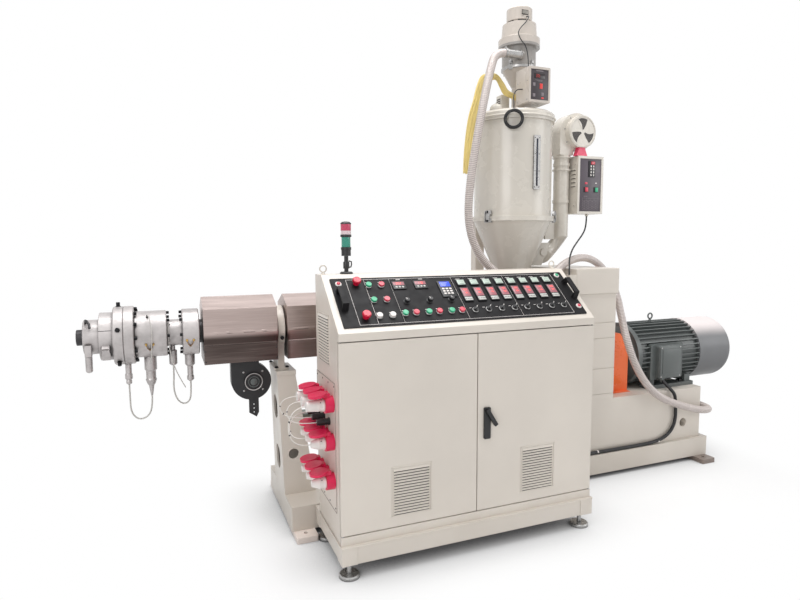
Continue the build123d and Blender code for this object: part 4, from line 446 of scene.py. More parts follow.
# %% Dress the frame's own nodes
dress = (
    (machine_paint, "base_frame pedestal barrel_collar gearbox gearbox_cap motor_plinth"),
    (machine_paint, "feed_throat hopper_stand"),
    (cabinet_paint, "cabinet_plinth cabinet_side_left cabinet_side_right cabinet_back cabinet_roof"),
    (cabinet_paint, "door_left door_right"),
    (dryer_paint, "hopper_cone hopper_drum hopper_lid dryer_duct dryer_box"),
    (loader_paint, "loader_body loader_head loader_box"),
    (blower_paint, "dryer_blower"),
    (foot_paint, "foot_plates"),
    (cover_steel, "barrel_covers"),
    (die_aluminium, "barrel_flange die_neck die_body die_flange die_clamp die_front die_connectors"),
    (turned_steel, "barrel die_bushing"),
    (bright_zinc, "levelling_feet sight_glass door_pivots"),
    (motor_paint, "motor_frame"),
    (cowl_paint, "motor_cowl"),
    (guard_paint, "coupling_guard"),
    (duct_paint, "wiring_duct"),
    (panel_black, "control_panel"),
    (black_plastic, "door_handle cooling_fans temperature_controllers signal_lamp"),
    (red_plastic, "power_sockets"),
    (white_plastic, "socket_plugs push_buttons"),
    (bag_cloth, "filter_bag"),
)
for material, names in dress:
    for name in names.split():
        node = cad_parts[name]
        node.data.materials.clear()
        node.data.materials.append(material)
print("dressed", sum(len(names.split()) for material, names in dress), "nodes")

# %% [markdown]
# Cables and hoses. Each is a fixed length of something flexible that hangs from its two ends. The route's
# points are those of the frame's own tubes, and a NURBS curve through their hull gives the smooth line that
# a bent cable takes.


# %% Cords
def centreline(name, points):
    """A quadratic NURBS curve that starts and ends on its first and last points."""
    data = bpy.data.curves.new(name, "CURVE")
    data.dimensions = "3D"
    steps_between_points = 12
    data.resolution_u = steps_between_points
    spline = data.splines.new("NURBS")
    spline.points.add(len(points) - 1)
    for control, point in zip(spline.points, points):
        control.co = (*point, 1)
    spline.order_u = 3
    spline.use_endpoint_u = True
    return linked(name, data)


def shown_mesh(piece):
    """What the piece looks like with its modifiers, as a plain mesh."""
    bpy.context.view_layer.update()
    return bpy.data.meshes.new_from_object(piece.evaluated_get(bpy.context.evaluated_depsgraph_get()))


def line_length(piece):
    """Length of the curve, and the points that it passes through."""
    mesh = shown_mesh(piece)
    points = [vertex.co.copy() for vertex in mesh.vertices]
    bpy.data.meshes.remove(mesh)
    return sum((b - a).length for a, b in zip(points, points[1:])), points


def cable(
    name, node, diameter, points, material
):
    """A plain round cable that stands for one frame tube."""
    piece = centreline(name, points)
    length = line_length(piece)[0]
    piece.data.bevel_depth = diameter / 2
    piece.data.bevel_resolution = 4
    piece.data.use_fill_caps = True
    piece.data.materials.append(material)
    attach(piece, MACHINE)
    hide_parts(node)
    print(name, "is", round(length, 3), "m long")


# %% Motor, dryer and loader cables
motor_route = [
    (1.1196, -0.2505, 0.5771), (1.1286, -0.2967, 0.5399), (1.154, -0.325, 0.5), (1.173, -0.316, 0.45),
    (1.185, -0.309, 0.395), (1.189, -0.308, 0.335), (1.178, -0.308, 0.277), (1.144, -0.308, 0.227),
    (1.085, -0.308, 0.192), (1.0, -0.308, 0.175), (0.86, -0.308, 0.172), (0.64, -0.309, 0.1725),
    (0.4, -0.308, 0.172), (0.22, -0.308, 0.172), (0.12, -0.307, 0.182), (0.04, -0.308, 0.204),
    (0.002, -0.318, 0.218), (-0.019, -0.338, 0.227), (-0.03, -0.3655, 0.232), (-0.03, -0.3945, 0.232),
]
dryer_route = [
    (0.59, -0.06, 1.704), (0.59, -0.06, 1.652), (0.557, -0.08, 1.596), (0.466, -0.125, 1.533),
    (0.384, -0.18, 1.484), (0.318, -0.24, 1.43), (0.2885, -0.28, 1.386), (0.2885, -0.28, 1.331),
]
loader_route = [
    (0.0825, -0.079, 2.908), (0.0825, -0.101, 2.908), (0.072, -0.116, 2.888), (0.048, -0.121, 2.856),
    (0.02, -0.123, 2.83), (0.002, -0.124, 2.808), (-0.007, -0.126, 2.786), (0.009, -0.13, 2.75),
    (0.036, -0.142, 2.716), (0.046, -0.146, 2.684), (0.047, -0.16, 2.625), (0.047, -0.16, 2.565),
]
cable("motor_cable_sheath", "motor_cable", 0.022, motor_route, cable_sheath)
cable("dryer_cable_sheath", "dryer_cable", 0.01, dryer_route, cable_sheath)
cable(
    "loader_cable_sheath", "loader_cable", 0.006, loader_route, cable_sheath
)

# %% [markdown]
# The loader's spare cable is wound into a small round coil that is tied flat against the rim of the lid. A
# loop works out its turns: each one shifts a little in radius and depth, because hand-wound turns never lie
# exactly on each other. The lead-in from the control box belongs to the same length of cable.

# %% Spare cable in its coil
coil_centre = Vector((-0.0973, -0.2318, 2.258))
coil_out = Vector((-0.52992, -0.84805, 0))
coil_side = UP.cross(coil_out)
coil_turns, points_per_turn = 8, 14
turn_spacing, inner_turn = 0.0066, 0.0445
coil_points = [
    (-0.006, -0.18, 2.445), (-0.034, -0.18, 2.445), (-0.066, -0.192, 2.425), (-0.092, -0.216, 2.388),
    (-0.0973, -0.2318, 2.356),
]
shuffle = random.Random(5)
for turn in range(coil_turns):
    layer = (turn % 3 - 1) * turn_spacing
    radius = inner_turn + turn_spacing * (turn // 3) + shuffle.uniform(-0.001, 0.001)
    for step in range(points_per_turn):
        angle = 2 * math.pi * (turn + step / points_per_turn)
        ring = radius * (math.sin(angle) * coil_side + math.cos(angle) * UP)
        coil_points.append(tuple(coil_centre + ring + layer * coil_out))
cable(
    "loader_spare_cable",
    "loader_coil",
    0.006,
    coil_points,
    cable_sheath,
)

# %% [markdown]
# The heaters on the die are joined by short grey leads that sag between their plugs, and two thin sensor
# wires leave the neck and the die body. White leads loop between the sockets on the cabinet's side.

# %% Die leads and socket leads
front_route = [
    (-2.232, 0, 0.8202), (-2.232, 0, 0.75), (-2.23, 0, 0.668), (-2.192, 0, 0.628), (-2.144, 0, 0.646),
    (-2.127, 0, 0.702), (-2.127, 0, 0.7542),
]
rear_route = [
    (-2.017, 0, 0.9047), (-2.017, 0, 0.845), (-2.022, 0, 0.778), (-2.007, 0, 0.716), (-1.974, 0, 0.688),
    (-1.942, 0, 0.704), (-1.935, 0, 0.756), (-1.935, 0, 0.8097),
]
neck_route = [
    (-2.034, -0.0482, 1.1252), (-2.034, -0.063, 1.14), (-2.035, -0.08, 1.136), (-2.037, -0.088, 1.1),
    (-2.037, -0.088, 1.05), (-2.032, -0.086, 1.0), (-2.023, -0.08, 0.945), (-2.007, -0.062, 0.888),
    (-1.982, -0.042, 0.826), (-1.962, -0.034, 0.786),
]
body_route = [
    (-2.13, -0.0712, 1.1719), (-2.13, -0.0832, 1.1879), (-2.126, -0.104, 1.182), (-2.118, -0.122, 1.154),
    (-2.112, -0.131, 1.105), (-2.114, -0.128, 1.05), (-2.117, -0.112, 1.0), (-2.121, -0.088, 0.958),
    (-2.127, -0.056, 0.932), (-2.127, -0.0302, 0.932),
]
socket_routes = (
    [
        (-1.4745, -0.504, 0.802), (-1.51, -0.504, 0.802), (-1.552, -0.508, 0.786), (-1.562, -0.518, 0.744),
        (-1.528, -0.532, 0.714), (-1.456, -0.545, 0.704), (-1.4105, -0.545, 0.704),
    ],
    [
        (-1.4745, -0.602, 0.802), (-1.506, -0.602, 0.802), (-1.542, -0.61, 0.784), (-1.548, -0.62, 0.744),
        (-1.52, -0.632, 0.714), (-1.456, -0.64, 0.704), (-1.4105, -0.64, 0.704),
    ],
    [
        (-1.4745, -0.7, 0.802), (-1.506, -0.7, 0.802), (-1.546, -0.704, 0.774), (-1.562, -0.708, 0.712),
        (-1.544, -0.706, 0.652), (-1.5, -0.7, 0.623), (-1.4565, -0.7, 0.623),
    ],
    [
        (-1.4105, -0.45, 0.704), (-1.452, -0.45, 0.704), (-1.494, -0.474, 0.686), (-1.52, -0.52, 0.656),
        (-1.518, -0.57, 0.632), (-1.49, -0.602, 0.623), (-1.4565, -0.602, 0.623),
    ],
)
for name, node, diameter, route, far_end in (
    ("die_lead_front_braid", "die_lead_front", 0.008, front_route, "object"),
    ("die_lead_rear_braid", "die_lead_rear", 0.008, rear_route, "object"),
    ("sensor_wire_neck", "die_lead_thin", 0.005, neck_route, "bare"),
    ("sensor_wire_body", "die_lead_thin", 0.005, body_route, "object"),
):
    cable(name, node, diameter, route, braid_grey)
for number, route in enumerate(socket_routes, 1):
    cable(f"socket_lead_{number}", "socket_leads", 0.005, route, thin_white)

# %% [markdown]
# The suction hose is wound from vinyl over a wire spiral, so its wall ripples. A profile circle swept along
# the centreline would be smooth. Geometry Nodes resample the line, let the radius follow a cosine of the
# length along it, and keep that cosine in an attribute for the hose's finish.


# %% Geometry Nodes helpers
def node_tree(name, **inputs):
    """A Geometry Nodes tree with its geometry sockets, and its named inputs as Values."""
    tree = bpy.data.node_groups.new(name, "GeometryNodeTree")
    tree.interface.new_socket("Geometry", in_out="INPUT", socket_type="NodeSocketGeometry")
    tree.interface.new_socket("Geometry", in_out="OUTPUT", socket_type="NodeSocketGeometry")
    for label, kind in inputs.items():
        tree.interface.new_socket(label.replace("_", " "), in_out="INPUT", socket_type="NodeSocket" + kind)
    entry = tree.nodes.new("NodeGroupInput")
    return tree, {socket.name: Value(tree, socket) for socket in entry.outputs if socket.name}


def grow(tree, kind, inputs, output=0, **settings):
    """One Geometry Nodes node: its settings first, then its inputs by name or place."""
    node = tree.nodes.new(kind)
    for name, value in settings.items():
        setattr(node, name, value)
    for name, value in inputs.items():
        feed(tree, value, node.inputs[name])
    return Value(tree, node.outputs[output])


def leave(tree, shape):
    """End the tree with this shape."""
    feed(tree, shape, tree.nodes.new("NodeGroupOutput").inputs["Geometry"])


def set_inputs(piece, tree, **inputs):
    """Add the tree to a piece, with its inputs set by the identifiers of their sockets."""
    modifier = piece.modifiers.new(tree.name, "NODES")
    modifier.node_group = tree
    for item in tree.interface.items_tree:
        label = item.name.replace(" ", "_")
        if item.in_out == "INPUT" and label in inputs:
            modifier[item.identifier] = inputs[label]


def frozen(piece, name):
    """The evaluated piece as a plain mesh object of its own."""
    mesh = shown_mesh(piece)
    mesh.name = name
    made = linked(name, mesh)
    bpy.data.objects.remove(piece)
    return made


# %% Ribbed suction hose
hose_points = [
    (-0.07, -0.108, 2.668), (-0.15, -0.108, 2.668), (-0.214, -0.155, 2.545), (-0.282, -0.2, 2.35),
    (-0.335, -0.205, 2.1), (-0.378, -0.21, 1.85), (-0.388, -0.212, 1.65), (-0.335, -0.22, 1.48),
    (-0.22, -0.24, 1.35), (-0.06, -0.285, 1.295), (0.09, -0.29, 1.3), (0.205, -0.255, 1.35),
    (0.332, -0.19, 1.407), (0.505, -0.11, 1.435), (0.662, -0.04, 1.418), (0.79, -0.01, 1.35),
    (0.815, -0.11, 1.204), (0.764, -0.23, 1.017), (0.733, -0.325, 0.866), (0.787, -0.345, 0.718),
    (0.878, -0.352, 0.589), (0.986, -0.352, 0.504), (1.104, -0.353, 0.45), (1.252, -0.352, 0.399),
    (1.4, -0.35, 0.362), (1.52, -0.31, 0.352), (1.51, -0.2, 0.36),
]
hose_radius, rib_depth, rib_pitch = 0.025, 0.0026, 0.0105
steps_per_rib, points_around = 4.0, 20

ribs, given = node_tree("ribbed_hose", Radius="Float", Rib_depth="Float", Rib_pitch="Float", Skin="Material")
step_length = given["Rib pitch"] / steps_per_rib
line = grow(
    ribs, "GeometryNodeResampleCurve", {"Curve": given["Geometry"], "Length": step_length}, mode="LENGTH"
)
run = grow(ribs, "GeometryNodeSplineParameter", {}, "Length")
turns = run / given["Rib pitch"] * (2 * math.pi)
wave = turns.maths("COSINE", turns)
swell = wave * given["Rib depth"] * 0.5 + given["Radius"]
line = grow(ribs, "GeometryNodeSetCurveRadius", {"Curve": line, "Radius": swell})
marks = {"Geometry": line, "Name": "rib", "Value": wave}
line = grow(ribs, "GeometryNodeStoreNamedAttribute", marks, data_type="FLOAT", domain="POINT")
circle = grow(ribs, "GeometryNodeCurvePrimitiveCircle", {"Resolution": points_around, "Radius": 1.0})
line_radius = grow(ribs, "GeometryNodeInputRadius", {})
wall = {"Curve": line, "Profile Curve": circle, "Scale": line_radius, "Fill Caps": True}
tube = grow(ribs, "GeometryNodeCurveToMesh", wall)
tube = grow(ribs, "GeometryNodeSetMaterial", {"Geometry": tube, "Material": given["Skin"]})
leave(ribs, grow(ribs, "GeometryNodeSetShadeSmooth", {"Geometry": tube}))

hose_route = centreline("hose_route", hose_points)
hose_length, hose_path = line_length(hose_route)
middle_radius = hose_radius - rib_depth / 2
set_inputs(hose_route, ribs, Radius=middle_radius, Rib_depth=rib_depth, Rib_pitch=rib_pitch, Skin=hose_milky)
hose = frozen(hose_route, "suction_hose_ribbed")
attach(hose, MACHINE)
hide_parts("suction_hose")
print("hose is", round(hose_length, 3), "m long with", len(hose.data.polygons), "faces")

# %% [markdown]
# Small parts. A class grows one mesh out of closed solids in a local frame: blocks with rounded edges, turned
# shapes, flat prisms and bent rods. A second helper repeats a small part with Geometry Nodes, at a list of
# places that each carry the direction in which the part points.


# %% Places and directions
def seat(origin, across, up):
    """A local frame on a surface: x across it, y up it and z out of it."""
    across, up = Vector(across).normalized(), Vector(up).normalized()
    return Matrix.LocRotScale(Vector(origin), Matrix((across, up, across.cross(up))).transposed(), None)


def facing(origin, out, across=(1, 0, 0)):
    """A local frame whose z looks out of a surface and whose x runs across it."""
    out = Vector(out).normalized()
    return seat(origin, across, out.cross(Vector(across)))


def polar(radius, degrees):
    """A point of a plane, by its distance from the middle and its angle."""
    return radius * math.cos(math.radians(degrees)), radius * math.sin(math.radians(degrees))


def arc(radius, start, end, steps):
    """Points on an arc about the middle, angles in degrees."""
    return [polar(radius, start + (end - start) * step / steps) for step in range(steps + 1)]


def circle(radius, steps, height=0):
    """A closed route round the middle of a local frame."""
    return [(x, y, height) for x, y in arc(radius, 0, 360, steps)]


def hoop(radius, steps, height):
    """A closed route that stands upright above the middle."""
    return [(across, 0, height + up) for across, up in arc(radius, 0, 360, steps)]


def round_the_axis(axis, radius, degrees, height):
    """A local frame on an upright round wall, which it faces away from."""
    out = Vector((*polar(1.0, degrees), 0))
    return facing(axis + radius * out + height * UP, out, (-out.y, out.x, 0))


def declare(made, body, node):
    """Hang a piece on the empty of the body that it rides on, and hide the frame's node that it stands for.
    """
    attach(made, body)
    if node:
        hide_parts(node)
    return made


# %% Shapes
class Shape:
    """A mesh that grows out of closed solids in one local frame."""

    def __init__(self, place=None):
        self.mesh = bmesh.new()
        self.place = place or Matrix()

    def solid(self, points, faces):
        verts = [self.mesh.verts.new(self.place @ Vector(point)) for point in points]
        for face in faces:
            self.mesh.faces.new([verts[index] for index in face])

    def block(self, centre, size, rounding=0.0, turn=0.0):
        """A box with rounded edges, turned by some degrees about the local z axis."""
        spin = Matrix.Rotation(math.radians(turn), 3, "Z")
        where = self.place @ Matrix.LocRotScale(Vector(centre), spin, Vector(size))
        made = bmesh.ops.create_cube(self.mesh, size=1.0, matrix=where)
        if rounding:
            edges = list({edge for vert in made["verts"] for edge in vert.link_edges})
            bmesh.ops.bevel(self.mesh, geom=edges, offset=rounding, segments=2, affect="EDGES", profile=0.5)

    def turned(self, profile, sides=24, foot=(0, 0, 0)):
        """Spin (radius, height) pairs about the local z axis. Flat ends close themselves."""
        foot = Vector(foot)
        points = [foot + profile[0][1] * UP]
        for radius, height in profile:
            points += [foot + Vector((*polar(radius, 360 * step / sides), height)) for step in range(sides)]
        points.append(foot + profile[-1][1] * UP)
        last = len(points) - 1
        faces = []
        for step in range(sides):
            after = (step + 1) % sides
            faces.append((0, 1 + after, 1 + step))
            for low in range(1, last - sides, sides):
                faces.append((low + step, low + after, low + sides + after, low + sides + step))
            faces.append((last - sides + step, last - sides + after, last))
        self.solid(points, faces)

    def prism(self, outline, low, high):
        """A flat shape drawn in the local x-y plane, from one height to another."""
        self.loft([[(x, y, height) for x, y in outline] for height in (low, high)])

    def loft(self, rings, closed=False):
        """Join rings of points into a tube. An open one gets its two ends closed."""
        count, sides = len(rings), len(rings[0])
        faces = []
        for index in range(count if closed else count - 1):
            low, high = index * sides, (index + 1) % count * sides
            for step in range(sides):
                after = (step + 1) % sides
                faces.append((low + step, low + after, high + after, high + step))
        if not closed:
            faces += [tuple(reversed(range(sides))), tuple(range((count - 1) * sides, count * sides))]
        self.solid([point for ring in rings for point in ring], faces)

    def rod(self, route, radius, sides=8):
        """A bent round rod, or a closed ring when the route ends where it starts."""
        route = [Vector(point) for point in route]
        touching = 1e-6
        ring = (route[0] - route[-1]).length < touching
        route = route[:-1] if ring else route
        rings = []
        side = None
        for index, point in enumerate(route):
            before = route[index - 1] if ring or index else point
            after = route[(index + 1) % len(route)] if ring or index < len(route) - 1 else point
            along = (after - before).normalized()
            side = side or along.orthogonal()
            side = (side - side.dot(along) * along).normalized()
            spokes = [polar(radius, 360 * step / sides) for step in range(sides)]
            rings.append([point + x * side + y * along.cross(side) for x, y in spokes])
        self.loft(rings, ring)

    def object(self, name, sharp=35.0):
        """The finished mesh as an object, smooth except at its sharp edges."""
        bmesh.ops.recalc_face_normals(self.mesh, faces=self.mesh.faces)
        data = bpy.data.meshes.new(name)
        self.mesh.to_mesh(data)
        self.mesh.free()
        data.shade_smooth()
        data.set_sharp_from_angle(angle=math.radians(sharp))
        return linked(name, data)

    def piece(self, name, material, slot_name, body=MACHINE, node=None, sharp=35.0):
        made = self.object(name, sharp)
        made.data.materials.append(material)
        return declare(made, body, node)


def blocks(place, *rows):
    """A shape of boxes: each row gives a centre, a size and a rounding."""
    shape = Shape(place)
    for row in rows:
        shape.block(row[:3], row[3:6], *row[6:])
    return shape


def turned(*profiles):
    """A shape of turned solids: each has its number of sides and its profile."""
    shape = Shape()
    for sides, *profile in profiles:
        shape.turned(profile, sides)
    return shape


# %% One part at many spots
repeat, given = node_tree("repeat_part", Part="Object", Skin="Material", Spin="Float")
part = grow(repeat, "GeometryNodeObjectInfo", {"Object": given["Part"]}, "Geometry")
aim = grow(repeat, "GeometryNodeInputNamedAttribute", {"Name": "aim"}, data_type="FLOAT_VECTOR")
aimed = grow(repeat, "FunctionNodeAlignRotationToVector", {"Vector": aim}, axis="Z")
spin_seed, largest = 7, 3
spin_limits = {largest: given["Spin"], "Seed": spin_seed}
spin = grow(repeat, "FunctionNodeRandomValue", spin_limits, 1, data_type="FLOAT")
spin_turn = grow(repeat, "ShaderNodeCombineXYZ", {"Z": spin})
both_turns = {"Rotation": aimed, "Rotate By": spin_turn}
rotation = grow(repeat, "FunctionNodeRotateRotation", both_turns, rotation_space="LOCAL")
spread_inputs = {"Points": given["Geometry"], "Instance": part, "Rotation": rotation}
spread = grow(repeat, "GeometryNodeInstanceOnPoints", spread_inputs)
spread = grow(repeat, "GeometryNodeRealizeInstances", {"Geometry": spread})
leave(repeat, grow(repeat, "GeometryNodeSetMaterial", {"Geometry": spread, "Material": given["Skin"]}))


def repeated(name, shape, spots, material, node=None, spin_range=0.0):
    """One part at many spots: each spot is a place and the direction in which the part points."""
    data = bpy.data.meshes.new(name)
    data.from_pydata([tuple(place) for place, aim in spots], [], [])
    marks = data.attributes.new("aim", "FLOAT_VECTOR", "POINT")
    for mark, (place, aim) in zip(marks.data, spots):
        mark.vector = aim
    carrier = linked(name, data)
    sample = shape.object(name + "_sample")
    set_inputs(carrier, repeat, Part=sample, Skin=material, Spin=spin_range)
    made = frozen(carrier, name)
    made.data.materials.clear()
    made.data.materials.append(material)
    bpy.data.objects.remove(sample)
    return declare(made, MACHINE, node)


# %% Screws and bolts
def socket_screw(radius):
    """A cap screw with a hexagon socket sunk into its head."""
    head = [(radius, 0), (radius, radius * 1.5), (radius * 0.88, radius * 1.7)]
    socket = [(radius * 0.5, radius * 1.69), (radius * 0.5, radius * 1.75), (radius * 0.35, radius * 1.71)]
    return turned((16, *head), (6, *socket))


def hexagon_bolt(radius):
    """A hexagon head on its washer."""
    washer = [(radius * 1.3, 0), (radius * 1.3, radius * 0.2)]
    head = [(radius, radius * 0.19), (radius, radius * 0.75), (radius * 0.85, radius * 0.85)]
    return turned((20, *washer), (6, *head))


def pan_screw(radius):
    """A small domed screw with a cross cut shown by two bars."""
    screw = turned((14, (radius, 0), (radius * 0.92, radius * 0.28), (radius * 0.5, radius * 0.48)))
    for across, up in ((0.9, 0.16), (0.16, 0.9)):
        screw.block((0, 0, radius * 0.46), (radius * across, radius * up, radius * 0.08))
    return screw


def screws(name, screw, spots, material=black_steel):
    """Screws that each stop at a turn of their own."""
    almost_round = 6.0
    repeated(name, screw, spots, material, spin_range=almost_round)


print("helpers ready")

# %% [markdown]
# The control desk. Its black panel leans back by 49.5 degrees from the upright. Everything on it is placed
# in the panel's own plane: x along the desk from its left end, y up the slope, z out of the panel.

# %% Panel lines and printed marks
desk_slope = math.radians(40.5)
desk_up = Vector((0, math.cos(desk_slope), math.sin(desk_slope)))
desk_out = Vector((0, -math.sin(desk_slope), math.cos(desk_slope)))
panel_thickness = 0.004
desk = seat(Vector((-1.3525, -0.808, 1.14)) + panel_thickness * desk_out, (1, 0, 0), desk_up)


def on_desk(*spots):
    """Places on the panel, given in millimetres, each pointing out of it."""
    return [(desk @ Vector((x / 1000, y / 1000, 0)), desk_out) for x, y in spots]


starters = [(350, 96), (471.5, 96), (593, 96)]
green_spots = [(219, 289.5), (219, 189), *starters]
red_spots = [(284, 289.5), (284, 189), *[(x + 55.7, y) for x, y in starters]]
white_spots = [(219, 88.5), (284, 88.5)]
plain_buttons = [*green_spots, *red_spots, *white_spots]
stop_spots = [(161, 307), (153, 87.5)]
controller_columns = [716 + 74.6 * index for index in range(8)]
selector_spots = [(724 + 75.4 * index, 96) for index in range(8)]
knob_spots = [(382, 173), (504, 173), (621, 173)]

lines = Shape(desk)
line_width, print_height = 0.0016, 0.0006
low, high = 42, 334
for left, right in ((115, 334), (204, 204.5), (334, 674), (674, 980), (980, 1290)):
    for x in (left, right):
        lines.block((x / 1000, (low + high) / 2000, 0), (line_width, (high - low) / 1000, print_height))
    for y in (low, high):
        lines.block(((left + right) / 2000, y / 1000, 0), ((right - left) / 1000, line_width, print_height))
for spots, across, up, length, width in (
    (plain_buttons, -2, 21.5, 18, 2.6),
    (selector_spots, -22, 16, 12, 2.6),
    ([(382, 326), (504, 326)], 0, 0, 22, 4),
    ([(x, 316.5) for x in controller_columns], -6, 0, 26, 2.8),
):
    for x, y in spots:
        lines.block(((x + across) / 1000, (y + up) / 1000, 0), (length / 1000, width / 1000, print_height))
lines.piece("desk_lines", white_plastic, "white_plastic")
print("printed marks:", len(plain_buttons) + 2 * len(selector_spots) + 2)

# %% Buttons
every_button = [*plain_buttons, *selector_spots]
bezel = turned((28, (0.0168, 0), (0.0168, 0.003), (0.0148, 0.0055)))
cap = (28, (0.0146, 0.004), (0.0146, 0.0142), (0.0134, 0.0158), (0.006, 0.0161))
mushroom_foot = (0.0145, 0.0), (0.0145, 0.014), (0.0205, 0.017)
mushroom = (32, *mushroom_foot, (0.0212, 0.026), (0.018, 0.0312), (0.008, 0.0322))
pilot_ring = turned((28, (0.0155, 0), (0.0155, 0.0035), (0.0125, 0.006)))
pilot_lens = (24, (0.0092, 0.005), (0.0092, 0.0085), (0.0066, 0.0105), (0.003, 0.0115))
pilots = [(73, 307), (1327, 318), (1341, 84)]
for name, shape, spots, paint, slot_name in (
    ("button_bezels", bezel, every_button, bright_zinc, "zinc"),
    ("green_buttons", turned(cap), green_spots, green_plastic, "green_plastic"),
    ("red_buttons", turned(cap), red_spots, button_red, "red_plastic"),
    ("white_buttons", turned(cap), white_spots, white_plastic, "white_plastic"),
    ("stop_buttons", turned(mushroom), stop_spots, stop_red, "red_plastic"),
    ("pilot_rings", pilot_ring, pilots, white_plastic, "white_plastic"),
    ("red_pilots", turned(pilot_lens), [pilots[0], pilots[2]], button_red, "red_plastic"),
    ("green_pilots", turned(pilot_lens), [pilots[1]], green_plastic, "green_plastic"),
):
    repeated(name, shape, on_desk(*spots), paint, "push_buttons")
print("buttons:", len(every_button) + len(stop_spots), "pilots:", len(pilots))

# %% [markdown]
# Temperature controllers. Eight of them stand in a row, each with a reddish display behind dark glass, two
# rows of plain digits on it and a pale keypad below. Above each sits a small square meter. Digits are made of
# seven bars, so a function draws any number from a table of the bars that it lights.

# %% Seven-bar digits
lit_bars = "abcdef bc abged abgcd fgbc afgcd afgedc abc abcdefg abcdfg".split()
bar_place = {
    "a": (0, 1, True),
    "b": (0.5, 0.5, False),
    "c": (0.5, -0.5, False),
    "d": (0, -1, True),
    "e": (-0.5, -0.5, False),
    "f": (-0.5, 0.5, False),
    "g": (0, 0, True),
}


def digits(shape, text, x, y, height, size):
    """A row of seven-bar digits centred on x, y, with the height of one digit."""
    half = size / 2
    pitch, stroke, long = half * 1.55, half * 0.16, half * 0.82
    left = x - pitch * (len(text) - 1) / 2
    for index, digit in enumerate(text):
        for bar in lit_bars[int(digit)]:
            across, up, flat = bar_place[bar]
            middle = (left + index * pitch + across * half, y + up * half, height)
            shape.block(middle, (long, stroke, 0.0004) if flat else (stroke, long, 0.0004))


print("digits ready")

# %% Controllers, meters and displays
controller_y, controller_face, meter_y = 0.201, 0.008, 0.2855
keypad_x, counter_y = 0.6215, 0.283
rims, windows, keypads, meters, glowing, key_marks, keyboard = (Shape(desk) for index in range(7))
readings = ("185", "180", "175", "190", "185", "180", "170", "160")
for x_mm, reading in zip(controller_columns, readings):
    x = x_mm / 1000
    rims.block((x, controller_y, controller_face / 2), (0.048, 0.096, controller_face), 0.0014)
    windows.block((x, controller_y + 0.013, controller_face), (0.041, 0.0575, 0.0016), 0.0004)
    keypads.block((x, controller_y - 0.0325, controller_face), (0.041, 0.0225, 0.0018), 0.0005)
    for up, size in ((0.03, 0.0105), (0.0085, 0.0085)):
        digits(glowing, reading, x + 0.001, controller_y + up, controller_face + 0.001, size)
    for key in range(4):
        place = (x - 0.0145 + 0.0097 * key, controller_y - 0.033, controller_face + 0.0011)
        key_marks.block(place, (0.0058, 0.0042, 0.0006))
    rims.block((x, meter_y, 0.004), (0.0478, 0.0432, 0.008), 0.0012)
    meters.block((x, meter_y, 0.0082), (0.041, 0.0345, 0.0014), 0.0005)
    for tick in range(7):
        across, up = polar(0.015, 150 - 20 * tick)
        key_marks.block((x + across, meter_y - 0.008 + up, 0.009), (0.0014, 0.0014, 0.0005))
    key_marks.block((x, meter_y - 0.012, 0.009), (0.026, 0.0016, 0.0005))
for x, count in ((0.375, "052"), (0.4905, "118")):
    rims.block((x, counter_y, 0.003), (0.068, 0.054, 0.006), 0.0015)
    windows.block((x, counter_y + 0.01, 0.0062), (0.058, 0.0225, 0.0014), 0.0004)
    digits(glowing, count, x, counter_y + 0.01, 0.0072, 0.0125)
    for across in (-0.017, 0, 0.017):
        key = [(0.0056, 0), (0.0056, 0.0035), (0.004, 0.0042)]
        keypads.turned(key, 16, (x + across, counter_y - 0.0135, 0.004))
rims.block((keypad_x, 0.2465, 0.003), (0.077, 0.113, 0.006), 0.002)
for row in range(3):
    for column in (-1, 0, 1):
        place = (keypad_x + 0.0195 * column, 0.245 - 0.0165 * row, 0.0066)
        keyboard.block(place, (0.0135, 0.0098, 0.003), 0.001)
screen = blocks(desk, (keypad_x, 0.2775, 0.0064, 0.056, 0.0345, 0.0016, 0.0004))
text_sizes = [(0.6175 - 0.003 * row, 0.2865 - 0.009 * row, 0.0074, 0.036 - 0.006 * row) for row in range(3)]
text_rows = blocks(desk, *[(*row, 0.0022, 0.0004) for row in text_sizes])
for name, shape, paint, slot_name in (
    ("display_frames", rims, black_plastic, "black_plastic"),
    ("display_windows", windows, display_rose, "panel_black"),
    ("controller_keypads", keypads, key_grey, "white_plastic"),
    ("meter_faces", meters, meter_face, "white_plastic"),
    ("display_digits", glowing, digit_glow.material, "red_plastic"),
    ("key_marks", key_marks, black_plastic, "black_plastic"),
    ("keypad_keys", keyboard, white_plastic, "white_plastic"),
    ("keypad_screen", screen, blue_glass, "panel_black"),
    ("keypad_text_rows", text_rows, key_grey, "white_plastic"),
):
    shape.piece(name, paint, slot_name, node="temperature_controllers")
print("controllers:", len(controller_columns))

# %% [markdown]
# Selector switches carry a dark wing with a white pointer line, the three rotary knobs a fluted skirt.

